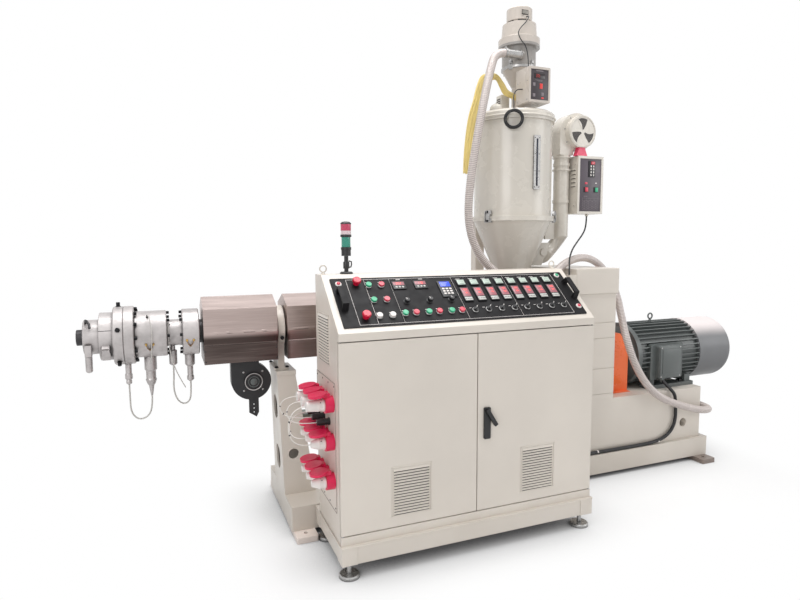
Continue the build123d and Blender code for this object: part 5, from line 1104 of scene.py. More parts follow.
# %% Selectors and knobs
wings, pointers = Shape(desk), Shape(desk)
lean = 38.0
for x_mm, y_mm in selector_spots:
    x, y = x_mm / 1000, y_mm / 1000
    wings.turned([(0.0132, 0.004), (0.0132, 0.012), (0.0118, 0.0135)], foot=(x, y, 0))
    wings.block((x, y, 0.018), (0.0072, 0.027, 0.0125), 0.002, turn=-lean)
    across, up = polar(0.0062, 90 - lean)
    pointers.block((x + across, y + up, 0.0244), (0.0022, 0.012, 0.0006), turn=-lean)
knob = [(0.0172, 0.0), (0.0166, 0.003), (0.0128, 0.0045), (0.0118, 0.019), (0.0105, 0.0205)]
for x_mm, y_mm in knob_spots:
    x, y = x_mm / 1000, y_mm / 1000
    wings.turned(knob, foot=(x, y, 0))
    for flute in range(0, 360, 30):
        across, up = polar(0.0124, flute)
        wings.block((x + across, y + up, 0.0115), (0.0018, 0.0018, 0.014), turn=flute)
    across, up = polar(0.006, 90 + lean)
    pointers.block((x + across, y + up, 0.0207), (0.0022, 0.0105, 0.0007), turn=lean)
wings.piece("selector_wings", black_plastic, "black_plastic", node="push_buttons")
pointers.piece("selector_pointers", white_plastic, "white_plastic", node="push_buttons")
print("selectors:", len(selector_spots), "knobs:", len(knob_spots))

# %% [markdown]
# The die. Dark cap screws hold its rings together, on the faces that look along the machine. Five radial
# screws centre the bushing, a bent steel nipple stands on the front ring, and each heater band shows a pair
# of brass terminals with a wire that dips between them.

# %% Screws and fittings on the die
screw_axis = Vector((0, 0, 1.077))
flange_face, body_face, barrel_flange_face = -2.194, -2.042, -1.968


def ring_normal(angle):
    """Away from the screw axis: 0 degrees is towards the cabinet's front, 90 is up."""
    across, up = polar(1.0, angle)
    return Vector((0, -across, up))


def on_ring(x, radius, angle):
    """A point at some radius from the screw axis."""
    return screw_axis + Vector((x, 0, 0)) + radius * ring_normal(angle)


def ring_spots(x, radius, count, out):
    """Spots round a ring's face, all pointing along the machine: out is 1 towards the motor, -1 away."""
    return [(on_ring(x, radius, 90 - out * 360 * step / count), (out, 0, 0)) for step in range(count)]


flange_circle, ring_circle = 0.133, 0.106
flange_screws = ring_spots(flange_face, flange_circle, 12, 1)
ring_screws = ring_spots(body_face, ring_circle, 8, 1) + ring_spots(barrel_flange_face, ring_circle, 8, -1)
screws("die_flange_screws", socket_screw(0.0085), flange_screws)
screws("die_ring_screws", socket_screw(0.0078), ring_screws)
centring = [(on_ring(-2.265, 0.1465, angle), ring_normal(angle)) for angle in range(90, 450, 72)]
shank = (20, (0.0092, 0.0035), (0.0092, 0.0205), (0.008, 0.0225))
centring_screw = turned((6, (0.012, -0.004), (0.012, 0.004)), shank)
repeated("centring_screws", centring_screw, centring, black_steel)

nipple = Shape()
bend = (-2.411, 0.08, 62), (-2.41, 0.104, 60), (-2.403, 0.113, 52), (-2.392, 0.113, 42), (-2.389, 0.11, 30)
nipple.rod([on_ring(*spot) for spot in bend], 0.0062, 12)
nipple.piece("die_front_nipple", turned_steel, "dark_steel")

terminals, wires = Shape(), Shape()
post = [(0.0058, 0), (0.0058, 0.005), (0.0036, 0.0055), (0.0036, 0.014), (0.0028, 0.015)]
terminal_gap = 0.033
for x_left, radius, angle in ((-2.141, 0.1185, -18.5), (-1.949, 0.121, -13.5)):
    middle = x_left + terminal_gap / 2
    for x in (x_left, x_left + terminal_gap):
        terminals.place = facing(on_ring(x, radius - 0.001, angle), ring_normal(angle))
        terminals.turned(post, 12)
        bow = on_ring((x * 2 + middle) / 3, radius + 0.009, angle - 8)
        dip = on_ring(middle, radius + 0.0035, angle - 17)
        wires.rod([on_ring(x, radius + 0.009, angle), bow, dip], 0.0022)
terminals.piece("heater_terminals", brass, "zinc")
wires.piece("heater_wires", heater_brown, "lead_grey")

sensors = Shape()
for route, direction in ((neck_route, (0, -0.7, 0.7)), (body_route, (0, -0.6, 0.8))):
    toward = Vector(direction).normalized()
    sensors.place = facing(Vector(route[0]) - 0.006 * toward, toward)
    sensors.turned([(0.0085, 0), (0.0085, 0.008)], 6)
    sensors.turned([(0.0052, 0.0075), (0.0052, 0.0165), (0.0034, 0.018)], 14)
sensors.piece("sensor_nuts", turned_steel, "dark_steel")
print("die screws:", len(flange_screws) + len(ring_screws) + len(centring))

# %% [markdown]
# The heater covers are bent from one sheet each and folded over at two heights. A strip with a slightly wavy
# lower edge shows each fold, and a dark strip under it is painted shadow. The fans under them get a guard
# ring, a hub and four screws each.

# %% Folds of the covers, fan guards
folds, fold_shadows = Shape(), Shape()
wave_source = random.Random(11)
cover_runs = ((-1.869, -1.493), (-1.44, -0.15))
waist, belt = (-0.146, 1.084), (-0.136, 1.018)


def fold_strip(start, end, edge, slope, depth, wander):
    """A lapped edge along a cover: its face hangs from y, z of the fold and leans by a slope."""
    wave_length = 0.02
    steps = round((end - start) / wave_length)
    y, z = edge
    rings = []
    for step in range(steps + 1):
        x = start + (end - start) * step / steps
        drop = depth + wave_source.uniform(0, wander)
        top, bulge = (x, y + 0.0002, z + 0.002), (x, y - 0.0012 + slope * drop / 2, z - drop / 2)
        lip, inside = (x, y - 0.0026 + slope * drop, z - drop), (x, y + 0.001 + slope * drop, z - drop)
        rings.append([top, bulge, lip, inside])
    folds.loft(rings)


for start, end in cover_runs:
    fold_strip(start + 0.004, end - 0.004, waist, 0.15, 0.006, 0.006)
    fold_strip(start + 0.004, end - 0.004, belt, 0.0, 0.003, 0.001)
    middle, length = (start + end) / 2, end - start - 0.012
    # A dark strip of painted shadow under each fold.
    fold_shadows.block((middle, waist[0] + 0.0005, waist[1] - 0.0085), (length, 0.002, 0.0016))
    fold_shadows.block((middle, belt[0], belt[1] - 0.0042), (length, 0.001, 0.0018))
folds.piece("cover_folds", cover_steel, "cover_steel")
fold_shadows.piece("cover_creases", shadow_black, "dark_steel")
cover_ends = [((x, -0.1365, z), FRONT) for x in (-1.862, -1.5) for z in (0.93, 0.985)]
screws("cover_screws", pan_screw(0.004), cover_ends, turned_steel)

fan_face, fan_z, guard_gap, fan_screw_circle = -0.078, 0.798, 0.0225, 0.071
guards, hubs = Shape(), Shape()
fan_screw_spots = []
for fan_x in (-1.62, -1.08, -0.7, -0.32):
    guards.place = hubs.place = facing((fan_x, fan_face - guard_gap, fan_z), FRONT)
    guards.rod(circle(0.045, 36), 0.0028)
    hubs.rod(circle(0.028, 36), 0.0018)
    hubs.turned([(0.018, -0.001), (0.018, 0.001), (0.012, 0.0022), (0.005, 0.0035)])
    for angle in range(45, 405, 90):
        across, up = polar(fan_screw_circle, angle)
        fan_screw_spots.append(((fan_x + across, fan_face, fan_z + up), FRONT))
guards.piece("fan_guard_rings", die_aluminium, "zinc")
hubs.piece("fan_hubs", motor_paint, "black_plastic")
screws("fan_screws", pan_screw(0.0055), fan_screw_spots, bright_zinc)
print("fans dressed:", len(fan_screw_spots), "screws")

# %% [markdown]
# Cabinet dress: the signal lamp with its joint, lenses and cap; lifting eyes on the roof; dark strips of
# painted shadow in the gaps under the pressed hoods of the three louvre banks, each inside a thin frame; and
# a lip round the plinth.

# %% Signal lamp
roof, lamp_height = 1.385, 0.258
lamp_place = Matrix.Translation((-1.203, -0.46, roof))
lamp_black = Shape(lamp_place)
for sides, *profile in (
    (24, (0.032, 0), (0.032, 0.006), (0.027, 0.0105), (0.0105, 0.012), (0.0105, 0.088)),
    (24, (0.0145, 0.026), (0.0155, 0.03), (0.0155, 0.056), (0.0145, 0.06)),
    (32, (0.0235, 0.089), (0.0235, 0.1185), (0.0258, 0.1195), (0.0258, 0.1315)),
    (32, (0.022, 0.1805), (0.0275, 0.183), (0.0275, 0.1915), (0.025, 0.194)),
    (32, (0.0268, 0.245), (0.0268, 0.2495), (0.02, 0.2555), (0.008, lamp_height - 0.0002)),
):
    lamp_black.turned(profile, sides)
joint = [(0.022, -0.006, 0.034), (0.025, -0.007, 0.046), (0.0245, -0.006, 0.06)]
lamp_black.rod([(0.013, 0, 0.032), *joint, (0.013, 0, 0.064)], 0.0034)
lamp_black.piece("lamp_body", black_plastic, "black_plastic", node="signal_lamp")
for name, radius, low, high, paint in (
    ("green", 0.0218, 0.1315, 0.181, lens_green),
    ("clear", 0.0248, 0.194, 0.2125, lens_clear),
    ("red", 0.0252, 0.2125, 0.2455, lens_red),
):
    lens = Shape(lamp_place)
    lens.turned([(radius, low), (radius + 0.0006, low + 0.002), (radius + 0.0006, high)], 40)
    lens.piece(f"lamp_{name}", paint, "green_plastic", node="signal_lamp")
print("signal lamp is", lamp_height, "m tall")

# %% Lifting eyes, louvre gap shadows and plinth lip
eyes = Shape()
for x, y in ((-1.314, -0.43), (0.0135, -0.47)):
    eyes.place = Matrix.Translation((x, y, roof))
    eyes.turned([(0.011, 0), (0.011, 0.003), (0.006, 0.005), (0.005, 0.011)], 20)
    eyes.rod(hoop(0.0165, 28, 0.026), 0.0032, 10)
eyes.piece("cabinet_lifting_eyes", cabinet_paint, "cabinet_paint")

louvre_pitch, louvre_gap, louvre_slats, louvre_width = 0.0138, 0.0066, 16, 0.187
bank_height = louvre_pitch * louvre_slats
banks = (
    ("side_louvre", facing((-1.3485, -0.5495, 1.09), LEFT, FRONT), MACHINE),
    ("left_door_louvre", facing((-1.0015, -0.808, 0.3835), FRONT), DOOR_LEFT),
    ("right_door_louvre", facing((-0.298, -0.808, 0.3835), FRONT), DOOR_RIGHT),
)
width, height, low = louvre_width + 0.014, bank_height + 0.012, -0.002
for name, place, body in banks:
    gap_shadows, rim = Shape(place), Shape(place)
    # Dark strips of painted shadow in the gaps under the pressed hoods.
    for slat in range(louvre_slats):
        middle = louvre_pitch * slat - bank_height / 2 - louvre_gap / 2 + 0.0003
        gap_shadows.block((0, middle, 0.0008), (louvre_width - 0.008, louvre_gap, 0.0012))
    for side in (-1, 1):
        rim.block((side * width / 2, low, 0.001), (0.005, height + 0.005, 0.003), 0.001)
        rim.block((0, low + side * height / 2, 0.001), (width + 0.005, 0.005, 0.003), 0.001)
    gap_shadows.piece(name + "_gaps", shadow_black, "black_plastic", body)
    rim.piece(name + "_rim", cabinet_paint, "cabinet_paint", body)
lip = blocks(
    None,
    (-0.6525, -0.8255, 0.1615, 1.402, 0.005, 0.0065, 0.002),
    (-1.353, -0.585, 0.1615, 0.005, 0.482, 0.0065, 0.002),
    (0.048, -0.585, 0.1615, 0.005, 0.482, 0.0065, 0.002),
)
lip.piece("plinth_lip", cabinet_paint, "cabinet_paint")
print("louvre gaps:", louvre_slats * len(banks))

# %% [markdown]
# The socket panel on the cabinet's left side. Each of the nine plugs gets two clamp rings and a small screw,
# the three inlets below the top row are black, and small ties bundle the thin white leads.

# %% Socket panel
panel_x, panel_y, panel_z = -1.3505, -0.5775, 0.6
plug_spots = [((-1.3905, y, z), LEFT) for z in (0.802, 0.623, 0.438) for y in (-0.7, -0.602, -0.504)]
front_clamp = (32, (0.0285, 0.001), (0.0302, 0.003), (0.0302, 0.0085), (0.0285, 0.0105))
rear_clamp = (32, (0.0279, 0.028), (0.0288, 0.0295), (0.0288, 0.0325), (0.0279, 0.034))
repeated("plug_clamp_rings", turned(front_clamp, rear_clamp), plug_spots, white_plastic)
screw_offset, screw_aim = Vector((-0.022, -0.0205, 0.0175)), (0, -0.76, 0.65)
plug_screws = [(Vector(place) + screw_offset, screw_aim) for place, aim in plug_spots]
screws("plug_screws", pan_screw(0.003), plug_screws)
sleeve = Shape()
neck = [(0.0185, 0), (0.0185, 0.006), (0.0152, 0.008), (0.0152, 0.05), (0.0144, 0.0615), (0.0068, 0.0618)]
sleeve.turned(neck)
for foot in (0.014, 0.022, 0.03, 0.038):
    sleeve.turned([(0.0152, 0), (0.0162, 0.001), (0.0162, 0.004), (0.0152, 0.005)], foot=(0, 0, foot))
inlets = [((panel_x, y, 0.704), LEFT) for y in (-0.64, -0.545, -0.45)]
repeated("inlet_sleeves", sleeve, inlets, black_plastic)
panel_screws = [
    ((panel_x, panel_y + across, panel_z + up), LEFT)
    for across in (-0.148, -0.05, 0.05, 0.148)
    for up in (-0.288, 0.288)
]
screws("socket_panel_screws", pan_screw(0.0042), panel_screws, turned_steel)

seams = Shape(facing((panel_x + 0.0003, panel_y, panel_z), LEFT, FRONT))
for side in (-1, 1):
    seams.block((side * 0.164, 0, 0.0002), (0.0018, 0.61, 0.0012))
    seams.block((0, side * 0.305, 0.0002), (0.33, 0.0018, 0.0012))
seams.piece("socket_panel_seams", seam_shade, "dark_steel")

ties = Shape()
for route in socket_routes:
    for first in (2, 3):
        start, end = Vector(route[first]), Vector(route[first + 1])
        along = end - start
        ties.place = facing((start + end) / 2 - 0.0025 * along.normalized(), along, (0.3, 1, 0.2))
        ties.turned([(0.0034, 0), (0.0042, 0.0006), (0.0042, 0.0044), (0.0034, 0.005)], 12)
        ties.block((0.0052, 0, 0.0025), (0.006, 0.0042, 0.004), 0.0005)
ties.piece("lead_ties", black_plastic, "black_plastic")
print("plugs dressed:", len(plug_spots), "ties:", 2 * len(socket_routes))

# %% [markdown]
# Hopper and loader. Three toggle latches hold the drum on its cone, a dark level shows in the sight glass,
# and the loader carries a small control box, bright clamps on its inlet and cooling slots under its cap,
# drawn as dark strips of painted shadow.

# %% Hopper latches, sight glass and lid fittings
hopper_axis = Vector((0.0475, 0, 0))
latches, latch_pins = Shape(), Shape()
for angle in (-156, -36, 84):
    latches.place = latch_pins.place = round_the_axis(hopper_axis, 0.262, angle, 1.69)
    latches.block((0, 0.024, -0.004), (0.04, 0.03, 0.02), 0.003)
    latches.block((0, -0.022, -0.004), (0.048, 0.026, 0.02), 0.003)
    latches.block((0, 0.0, 0.006), (0.026, 0.04, 0.006), 0.002)
    for x in (-0.016, 0.016):
        latches.rod([(x, 0.034, 0.009), (x, -0.014, 0.011), (x, -0.03, 0.008)], 0.003)
    latch_pins.block((0, -0.026, 0.0085), (0.012, 0.01, 0.005), 0.001)
    latch_pins.block((0, 0.03, 0.0085), (0.005, 0.014, 0.005), 0.001)
latches.piece("hopper_latches", bright_zinc, "zinc")
latch_pins.piece("hopper_latch_pins", black_steel, "dark_steel")
glass_x = 0.0565
glass_slot = blocks(facing((glass_x, -0.2535, 2.01), FRONT), (0, 0.002, 0, 0.0095, 0.272, 0.003, 0.0014))
glass_slot.piece("sight_glass_slot", blue_black, "black_plastic")
glass_screws = [
    ((glass_x + across, -0.2525, z), FRONT)
    for across in (-0.0145, 0.0145)
    for z in (1.865, 1.96, 2.06, 2.155)
]
screws("sight_glass_screws", pan_screw(0.0032), glass_screws)
lid_box = blocks(None, (-0.033, -0.005, 2.386, 0.06, 0.06, 0.116, 0.004))
cap_foot = (-0.13, -0.088, 2.325)
lid_box.turned([(0.04, 0), (0.04, 0.012), (0.037, 0.026), (0.028, 0.038), (0.012, 0.045)], foot=cap_foot)
lid_box.turned([(0.003, 0.043), (0.003, 0.055)], 10, cap_foot)
lid_box.piece("lid_fittings", dryer_paint, "dryer_paint")
# Painted shadow: dark strips in the vents of the box on the lid.
vent_rows = [(0, 0.012 * row, 0.0002, 0.042, 0.006, 0.0012) for row in range(-2, 3)]
lid_vents = blocks(facing((-0.063, -0.005, 2.395), LEFT, FRONT), *vent_rows)
lid_vents.piece("lid_vents", shadow_black, "black_plastic")
print("latches: 3, glass screws:", len(glass_screws))

# %% Loader head and inlet
loader_axis = Vector((0.0825, 0, 0))
head_slot_shadows = Shape()
# Painted shadow: dark strips in the cooling slots round the head, and a dark patch behind the bars of its
# vent.
for angle in range(-110, 250, 60):
    head_slot_shadows.place = round_the_axis(loader_axis, 0.0725, angle, 2.891)
    head_slot_shadows.block((0, 0, 0.0008), (0.05, 0.007, 0.004))
head_slot_shadows.place = facing((0.072, -0.0792, 2.934), FRONT)
head_slot_shadows.block((0, 0, 0), (0.046, 0.028, 0.0025), 0.0008)
head_slot_shadows.piece("loader_head_slots", shadow_black, "black_plastic")
bar_rows = [(0.0085 * bar, 0, 0, 0.0035, 0.021, 0.0008) for bar in range(-2, 3)]
head_bars = blocks(facing((0.072, -0.0806, 2.934), FRONT), *bar_rows)
head_bars.piece("loader_head_bars", dryer_paint, "dryer_paint")

pipe = Shape(facing((-0.071, -0.108, 2.668), (1, 0, 0), (0, 1, 0)))
for radius, start, end in ((0.0236, 0.0, 0.09), (0.026, 0.088, 0.094), (0.0274, -0.016, -0.003)):
    pipe.turned([(radius, start), (radius, end)], 32)
pipe.block((0, 0.0305, -0.0095), (0.014, 0.01, 0.011), 0.001)
for angle in (-150, -75, 20, 110):
    pipe.place = round_the_axis(loader_axis, 0.106, angle, 2.62)
    pipe.block((0, 0, 0), (0.026, 0.052, 0.009), 0.002)
    pipe.block((0, 0.018, 0.007), (0.018, 0.02, 0.008), 0.002)
pipe.piece("loader_clips", bright_zinc, "zinc")
band = Shape(Matrix.Translation(loader_axis + 2.603 * UP))
band.turned([(0.1055, 0), (0.1095, 0.002), (0.1095, 0.016), (0.1055, 0.018)], 64)
band.piece("loader_clamp_band", bright_zinc, "zinc")
print("loader head dressed")


# %% Loader control box
def panel_face(left, bottom, right, top, front):
    """A local frame at the middle of an upright panel, and a thin sheet over all of it."""
    place = facing(((left + right) / 2, front, (bottom + top) / 2), FRONT)
    return place, (0, 0, 0, right - left, top - bottom, 0.002, 0.0008)


place, sheet = panel_face(0.006, 2.375, 0.13, 2.551, -0.2462)
window = (0, 0.05, 0.0012, 0.078, 0.03, 0.0012, 0.0004)
square_keys = ((-0.038, 0), (-0.038, -0.062), (0.022, -0.054))
print_rows = [(-0.005 + 0.004 * row, 0.026 - 0.003 * row, 0.05 - 0.01 * row) for row in range(3)]
red_keys = blocks(
    place,
    (0.012, -0.008, 0.0015, 0.02, 0.03, 0.003, 0.001),
    (0.022, -0.076, 0.0015, 0.017, 0.009, 0.003, 0.001),
)
digits(red_keys, "88", -0.012, 0.05, 0.0022, 0.017)
grey_keys = blocks(
    place,
    *[(x, y, 0.0014, 0.017, 0.019, 0.0016, 0.0006) for x, y in square_keys],
    *[(x, y, 0.0012, length, 0.0016, 0.0008) for x, y, length in print_rows],
    (0, 0.079, 0.0012, 0.05, 0.006, 0.0008),
)
for name, shape, paint, slot_name in (
    ("loader_panel", blocks(place, sheet), panel_charcoal, "panel_black"),
    ("loader_window", blocks(place, window), window_dark, "panel_black"),
    ("loader_red_keys", red_keys, glow_soft, "red_plastic"),
    ("loader_grey_keys", grey_keys, key_dim, "black_plastic"),
):
    shape.piece(name, paint, slot_name)
box_screws = [((-0.006, y, z), LEFT) for y in (-0.228, -0.13) for z in (2.378, 2.486)]
screws("loader_box_screws", pan_screw(0.0042), box_screws, bright_zinc)
print("loader box dressed")

# %% [markdown]
# The dryer's control box has a dark plum panel with a time counter, a red and a green switch and a printed
# table. Its left side has pressed hoods over slots of painted shadow. The blower above it shows wire mesh in
# three
# curved openings: each is a petal of mesh laid on the blower's face, with a vane beside it.

# %% Dryer box
place, sheet = panel_face(0.501, 1.734, 0.674, 2.076, -0.0912)
switch_size = (0.022, 0.028, 0.0035, 0.001)
counter_cells = [(x, 0.122 - 0.019 * row) for x in (0.0, 0.021) for row in range(4)]
red_parts = blocks(
    place,
    (0.016, 0.144, 0.0062, 0.03, 0.018, 0.0014, 0.0005),
    (-0.033, -0.029, 0.0072, *switch_size),
    (-0.033, 0.012, 0.0018, 0.02, 0.013, 0.002, 0.0006),
)
white_parts = blocks(
    place,
    *[(x, y, 0.0064, 0.0075, 0.012, 0.0012, 0.0004) for x, y in counter_cells],
    (0.047, 0.014, 0.0018, 0.011, 0.008, 0.002, 0.0006),
)
digits(white_parts, "60", 0.016, 0.144, 0.0072, 0.01)
counter = blocks(
    place,
    (0.008, 0.106, 0.003, 0.052, 0.106, 0.006, 0.0015),
    (-0.036, -0.029, 0.003, 0.032, 0.034, 0.006, 0.0015),
    (0.046, -0.029, 0.003, 0.032, 0.034, 0.006, 0.0015),
)
column_width, row_height, ink = 0.0315, 0.015, 0.0011
table = blocks(
    place,
    *[(-0.06 + column_width * column, -0.122, ink, 0.0012, 0.075, 0.0006) for column in range(5)],
    *[(0.003, -0.0845 - row_height * row, ink, 0.127, 0.0012, 0.0006) for row in range(6)],
    *[
        (-0.0445 + column_width * column, -0.107 - row_height * row, ink, 0.014, 0.0028, 0.0006)
        for column in range(4)
        for row in range(4)
    ],
    (-0.035, -0.072, ink, 0.03, 0.0035, 0.0006),
)
green_switch = blocks(place, (0.048, -0.029, 0.0072, *switch_size))
hoods = Shape(facing((0.485, -0.049, 1.955), LEFT, FRONT))
slot_shadows = Shape(hoods.place)
# Painted shadow: a dark strip under each pressed hood, and a dark key slit in each round lock.
for up in (-0.052, -0.026, 0, 0.026, 0.052):
    hoods.block((0, up, 0.002), (0.046, 0.011, 0.006), 0.0025)
    slot_shadows.block((0, up - 0.0075, 0.0003), (0.042, 0.004, 0.0008))
for across, up in ((0.019, 0.083), (0.012, -0.182)):
    hoods.turned([(0.0115, 0), (0.0115, 0.0015), (0.009, 0.0025)], foot=(across, up, 0))
    slot_shadows.block((across, up, 0.0026), (0.009, 0.0016, 0.0006), turn=35)
for name, shape, paint, slot_name in (
    ("dryer_panel", blocks(place, sheet), panel_plum, "panel_black"),
    ("dryer_counter", counter, black_plastic, "black_plastic"),
    ("dryer_red_parts", red_parts, button_red, "red_plastic"),
    ("dryer_green_switch", green_switch, green_plastic, "green_plastic"),
    ("dryer_white_parts", white_parts, white_plastic, "white_plastic"),
    ("dryer_table", table, key_dim, "panel_black"),
    ("dryer_side_hoods", hoods, dryer_paint, "dryer_paint"),
    ("dryer_side_slots", slot_shadows, shadow_black, "black_plastic"),
):
    shape.piece(name, paint, slot_name)
print("dryer box dressed")

# %% Blower
blower_x, blower_z, scroll_screw_circle = 0.515, 2.245, 0.111
hub_radius, rim_radius, vane_foot = 0.015, 0.085, 0.018
mesh_disc = Shape(facing((blower_x, -0.089, blower_z), FRONT))
mesh_disc.turned([(0.086, 0), (0.086, 0.001)], 48)
mesh_disc.piece("blower_mesh", wire_mesh, "dark_steel")


def opening_side(hub_angle, rim_angle, bow):
    """A side of an opening from hub to rim, bowed clockwise."""
    start, end = Vector(polar(hub_radius, hub_angle)), Vector(polar(rim_radius, rim_angle))
    along = end - start
    clockwise = Vector((along.y, -along.x)).normalized()
    shares = [step / 10 for step in range(11)]
    return [start + share * along + math.sin(math.pi * share) * bow * clockwise for share in shares]


petals = Shape(facing((blower_x, -0.096, blower_z), FRONT))
vanes = Shape(petals.place)
for middle in (90, 210, 330):
    leading = opening_side(middle + 19, middle + 27, 0.009)
    trailing = opening_side(middle - 19, middle - 24, 0.003)
    rim = arc(rim_radius, middle + 26, middle - 23, 12)
    petals.prism([*leading, *rim, *reversed(trailing)], 0.0003, 0.0008)
    back = [polar(vane_foot, middle + 30), polar(rim_radius, middle + 31)]
    vanes.prism([*back, *reversed(leading)], 0.0002, 0.0014)
vanes.rod(circle(0.0955, 48, 0.0005), 0.0028)
petals.piece("blower_petals", wire_mesh, "dark_steel")
vanes.piece("blower_vanes", dryer_paint, "dryer_paint")
scroll_screws = []
for angle in (75, 125, 170, 215, 260, 345):
    across, up = polar(scroll_screw_circle, angle)
    scroll_screws.append(((blower_x + across, -0.052, blower_z + up), FRONT))
screws("blower_screws", pan_screw(0.0048), scroll_screws, bright_zinc)
print("blower dressed")

# %% [markdown]
# The drive end and the base: a lifting eye and a terminal-box lid on the motor, a slotted grille on the end
# of its fan cowl whose slots are arcs of painted shadow, bolts through its feet and the barrel's collar, and
# clips that hold the motor cable.

# %% Motor, base and collar fittings
lid_x, lid_z, eye_x, motor_top = 1.181, 0.705, 1.236, 0.955
cowl_end, motor_axis, motor_foot_top, collar_foot_top = 1.8172, 0.74, 0.5408, 0.861
motor_parts = Shape(Matrix.Translation((eye_x, 0, motor_top)))
motor_parts.turned([(0.017, 0), (0.017, 0.006), (0.0095, 0.009), (0.008, 0.02)], 20)
motor_parts.rod(hoop(0.0195, 32, 0.038), 0.0055, 12)
motor_parts.place = facing((lid_x, -0.25, lid_z), FRONT)
motor_parts.block((0, 0, 0.003), (0.188, 0.218, 0.008), 0.003)
motor_parts.block((0, 0.004, 0.008), (0.15, 0.17, 0.006), 0.003)
motor_parts.piece("motor_lifting_eye_and_lid", motor_paint, "motor_paint")
lid_screws = [((lid_x + x, -0.2568, lid_z + z), FRONT) for x in (-0.084, 0.084) for z in (-0.1, 0.1)]
screws("terminal_lid_screws", pan_screw(0.0055), lid_screws, bright_zinc)
grille_shadows = Shape(facing((cowl_end, 0, motor_axis), (1, 0, 0), (0, 1, 0)))
# Painted shadow: dark arcs in the slots of the grille on the cowl's end.
for radius in (0.06, 0.085, 0.11, 0.135, 0.16):
    for start in range(5, 365, 45):
        grille_shadows.rod([(x, y, 0) for x, y in arc(radius, start, start + 35, 8)], 0.0042, 6)
grille_shadows.piece("cowl_grille_slots", shadow_black, "black_plastic")
foot_bolts = [((x, y, motor_foot_top), UP) for x in (1.06, 1.36) for y in (-0.178, 0.178)]
screws("motor_foot_bolts", hexagon_bolt(0.015), foot_bolts, turned_steel)
collar_x = -1.4665
pedestal_spots = [(collar_x + x, y, collar_foot_top) for x in (-0.029, 0.029) for y in (-0.087, 0.087)]
pedestal_bolts = [(spot, UP) for spot in pedestal_spots]
screws("pedestal_bolts", hexagon_bolt(0.0095), pedestal_bolts)
repeated("collar_screw", socket_screw(0.01), [((collar_x, -0.1165, 1.03), FRONT)], black_steel)
clips = Shape()
half_width, clip_foot, clip_sheet = 0.005, 0.0095, 0.0014
for x in (1.037, 0.52, 0.2):
    clips.place = facing((x, -0.2985, 0.174), FRONT)
    rings = []
    for y, z in arc(0.0128, -90, 90, 10):
        low, high = clip_foot + z, clip_foot + z + clip_sheet
        under = [(-half_width, y, low), (half_width, y, low)]
        rings.append([*under, (half_width, y, high), (-half_width, y, high)])
    clips.loft(rings)
clips.piece("cable_clips", white_plastic, "white_plastic")
print("motor dressed:", len(foot_bolts), "foot bolts")

# %% [markdown]
# The dust bag. It is a long tube of filter cloth that hangs from the loader: a strap runs down to the left
# and the bag itself falls from it. Its two edges are smooth curves through a few given points, rings of
# points between them make the skin, and lengthwise folds deepen towards the foot, where the cloth sags.

# %% Dust bag
left_edge = [
    (-0.339, 1.949), (-0.337, 2.03), (-0.327, 2.15), (-0.306, 2.285), (-0.2755, 2.385), (-0.25, 2.475),
    (-0.212, 2.54), (-0.12, 2.556), (-0.066, 2.512), (-0.033, 2.469), (0.012, 2.449), (0.062, 2.434),
]
right_edge = [
    (-0.2915, 1.955), (-0.2885, 2.03), (-0.2765, 2.15), (-0.238, 2.29), (-0.215, 2.4), (-0.192, 2.488),
    (-0.152, 2.51), (-0.118, 2.518), (-0.088, 2.474), (-0.06, 2.437), (0.0, 2.416), (0.062, 2.399),
]
bag_middle_y, bag_half_depth = -0.06, 0.009
rings_between, skin_points = 7, 40


def smooth_between(points, place, share):
    """A point on the smooth curve through a list of points."""
    before, start = points[max(place - 1, 0)], points[place]
    end, after = points[place + 1], points[min(place + 2, len(points) - 1)]
    result = []
    for a, b, c, d in zip(before, start, end, after):
        rise = (c - a) * share + (2 * a - 5 * b + 4 * c - d) * share**2 + (3 * b - a - 3 * c + d) * share**3
        result.append(b + 0.5 * rise)
    return result


bag = Shape()
bag_rings = []
bag_steps = (len(left_edge) - 1) * rings_between
for step in range(bag_steps + 1):
    place = min(step // rings_between, len(left_edge) - 2)
    share = step / rings_between - place
    left, right_side = smooth_between(left_edge, place, share), smooth_between(right_edge, place, share)
    run_down = step / bag_steps
    slack = 1 - min(run_down / 0.55, 1)
    ring = []
    for point in range(skin_points):
        angle = 2 * math.pi * point / skin_points
        across = 0.5 - 0.5 * math.cos(angle)
        fine_fold = 0.5 * math.sin(across * 37 - run_down * 21)
        crease = math.sin(across * 19 + 2.2 * math.sin(run_down * 9)) + fine_fold
        fullness = abs(math.sin(angle)) ** 0.6
        depth = bag_half_depth * fullness * (0.72 + (0.12 + 0.2 * slack) * crease)
        x = left[0] + (right_side[0] - left[0]) * across
        z = left[1] + (right_side[1] - left[1]) * across
        hem = 0.004 * math.sin(across * 9) * max(0, 1 - step / 4)
        ring.append((x, bag_middle_y - math.copysign(depth, math.sin(angle)), z + hem))
    bag_rings.append(ring)
bag.loft(bag_rings)
bag_piece = bag.piece("dust_bag", bag_cloth, "bag_yellow", node="filter_bag", sharp=70.0)
print("bag has", len(bag_piece.data.polygons), "faces")

# %% [markdown]
# Studio. A pale floor that fades into a white backdrop, a big soft lamp overhead, one at the camera's left
# and a weaker one at its right. The floor keeps the machine's shadow near it, darkest where the machine
# stands close above it, and turns plain white further away.

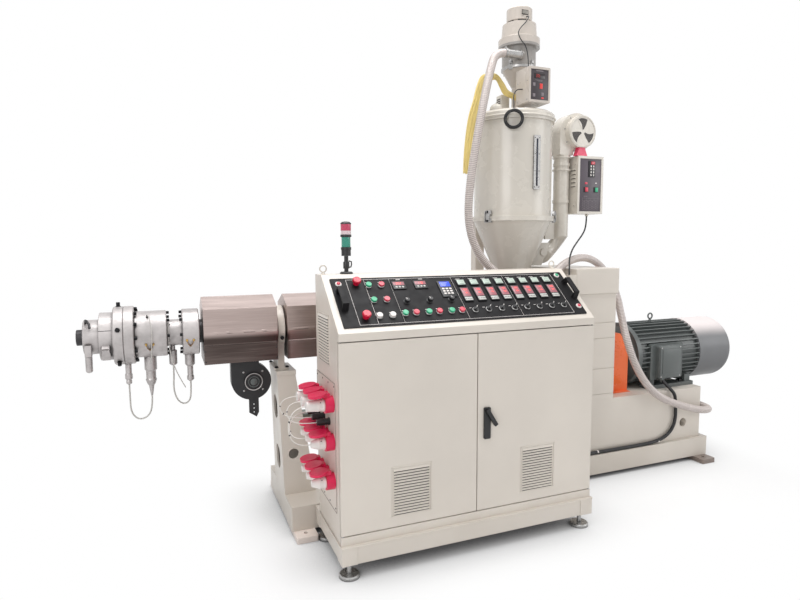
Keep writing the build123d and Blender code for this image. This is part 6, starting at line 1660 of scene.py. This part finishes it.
# %% Floor
pale, floor_half = (0.93, 0.93, 0.93, 1), 40.0
corners = [(x * floor_half, y * floor_half, 0.0) for x, y in ((-1, -1), (1, -1), (1, 1), (-1, 1))]
floor_mesh = bpy.data.meshes.new("floor")
floor_mesh.from_pydata(corners, [], [(0, 1, 2, 3)])
linked("floor", floor_mesh)
ground = Finish("floor_white", pale, 0.9)
beyond = 0.0
for axis, middle, half in (("X", 0.03, 1.53), ("Y", -0.24, 0.56)):
    offset = ground.along(axis) - middle
    past = offset.maths("ABSOLUTE", offset) - half
    beyond = past.maths("MAXIMUM", past, 0.0) ** 2.0 + beyond
open_air = ground.openness(0.35)
ground.set("Base Color", ground.blend(open_air, colour(70, 70, 76), pale))
white_share = ground.band(beyond**0.5, 0.0, 0.4, 0.6, 1.0) * ground.band(open_air, 0.0, 0.85)
seen = ground.node("ShaderNodeLightPath", output="Is Camera Ray")
mirrored = ground.node("ShaderNodeLightPath", output="Is Glossy Ray")
white = ground.node("ShaderNodeEmission", {}, {"Color": (1, 1, 1, 1), "Strength": 1.0})
lit = Value(ground.tree, ground.shader.outputs[0])
share = white_share * (seen + mirrored).clamped()
faded = ground.node("ShaderNodeMixShader", {}, {0: share, 1: lit, 2: white})
feed(ground.tree, faded, ground.tree.nodes["Material Output"].inputs["Surface"])
floor_mesh.materials.append(ground.material)
print("floor laid")


# %% Lamps and world
def softbox(name, place, target, size, power):
    lamp = bpy.data.lights.new(name, "AREA")
    lamp.shape = "RECTANGLE"
    lamp.size, lamp.size_y = size
    lamp.energy = power
    holder = linked(name, lamp)
    holder.location = place
    holder.rotation_euler = (Vector(target) - Vector(place)).to_track_quat("-Z", "Y").to_euler()


softbox("overhead", (-0.6, -0.6, 5.6), (-0.4, -0.1, 0), (4.2, 3.0), 230)
softbox("left_front", (-5.2, -4.4, 3.2), (-0.6, 0, 1.1), (3.0, 3.0), 103)
softbox("right_front", (4.9, -3.9, 2.7), (0.4, 0, 1.2), (3.0, 3.0), 72)
world = bpy.data.worlds.new("studio")
scene.world = world
world.use_nodes = True
sky = world.node_tree
backdrop = sky.nodes["Background"]
rays = sky.nodes.new("ShaderNodeLightPath").outputs
camera_ray, glossy_ray, clear_ray = (
    Value(sky, rays[f"Is {kind} Ray"]) for kind in ("Camera", "Glossy", "Transmission")
)
seen = (camera_ray + glossy_ray + clear_ray).clamped()
ambient = 0.36
feed(sky, (1, 1, 1, 1), backdrop.inputs["Color"])
feed(sky, seen * (1 - ambient) + ambient, backdrop.inputs["Strength"])
scene.view_settings.view_transform = "Standard"
print("studio lit")
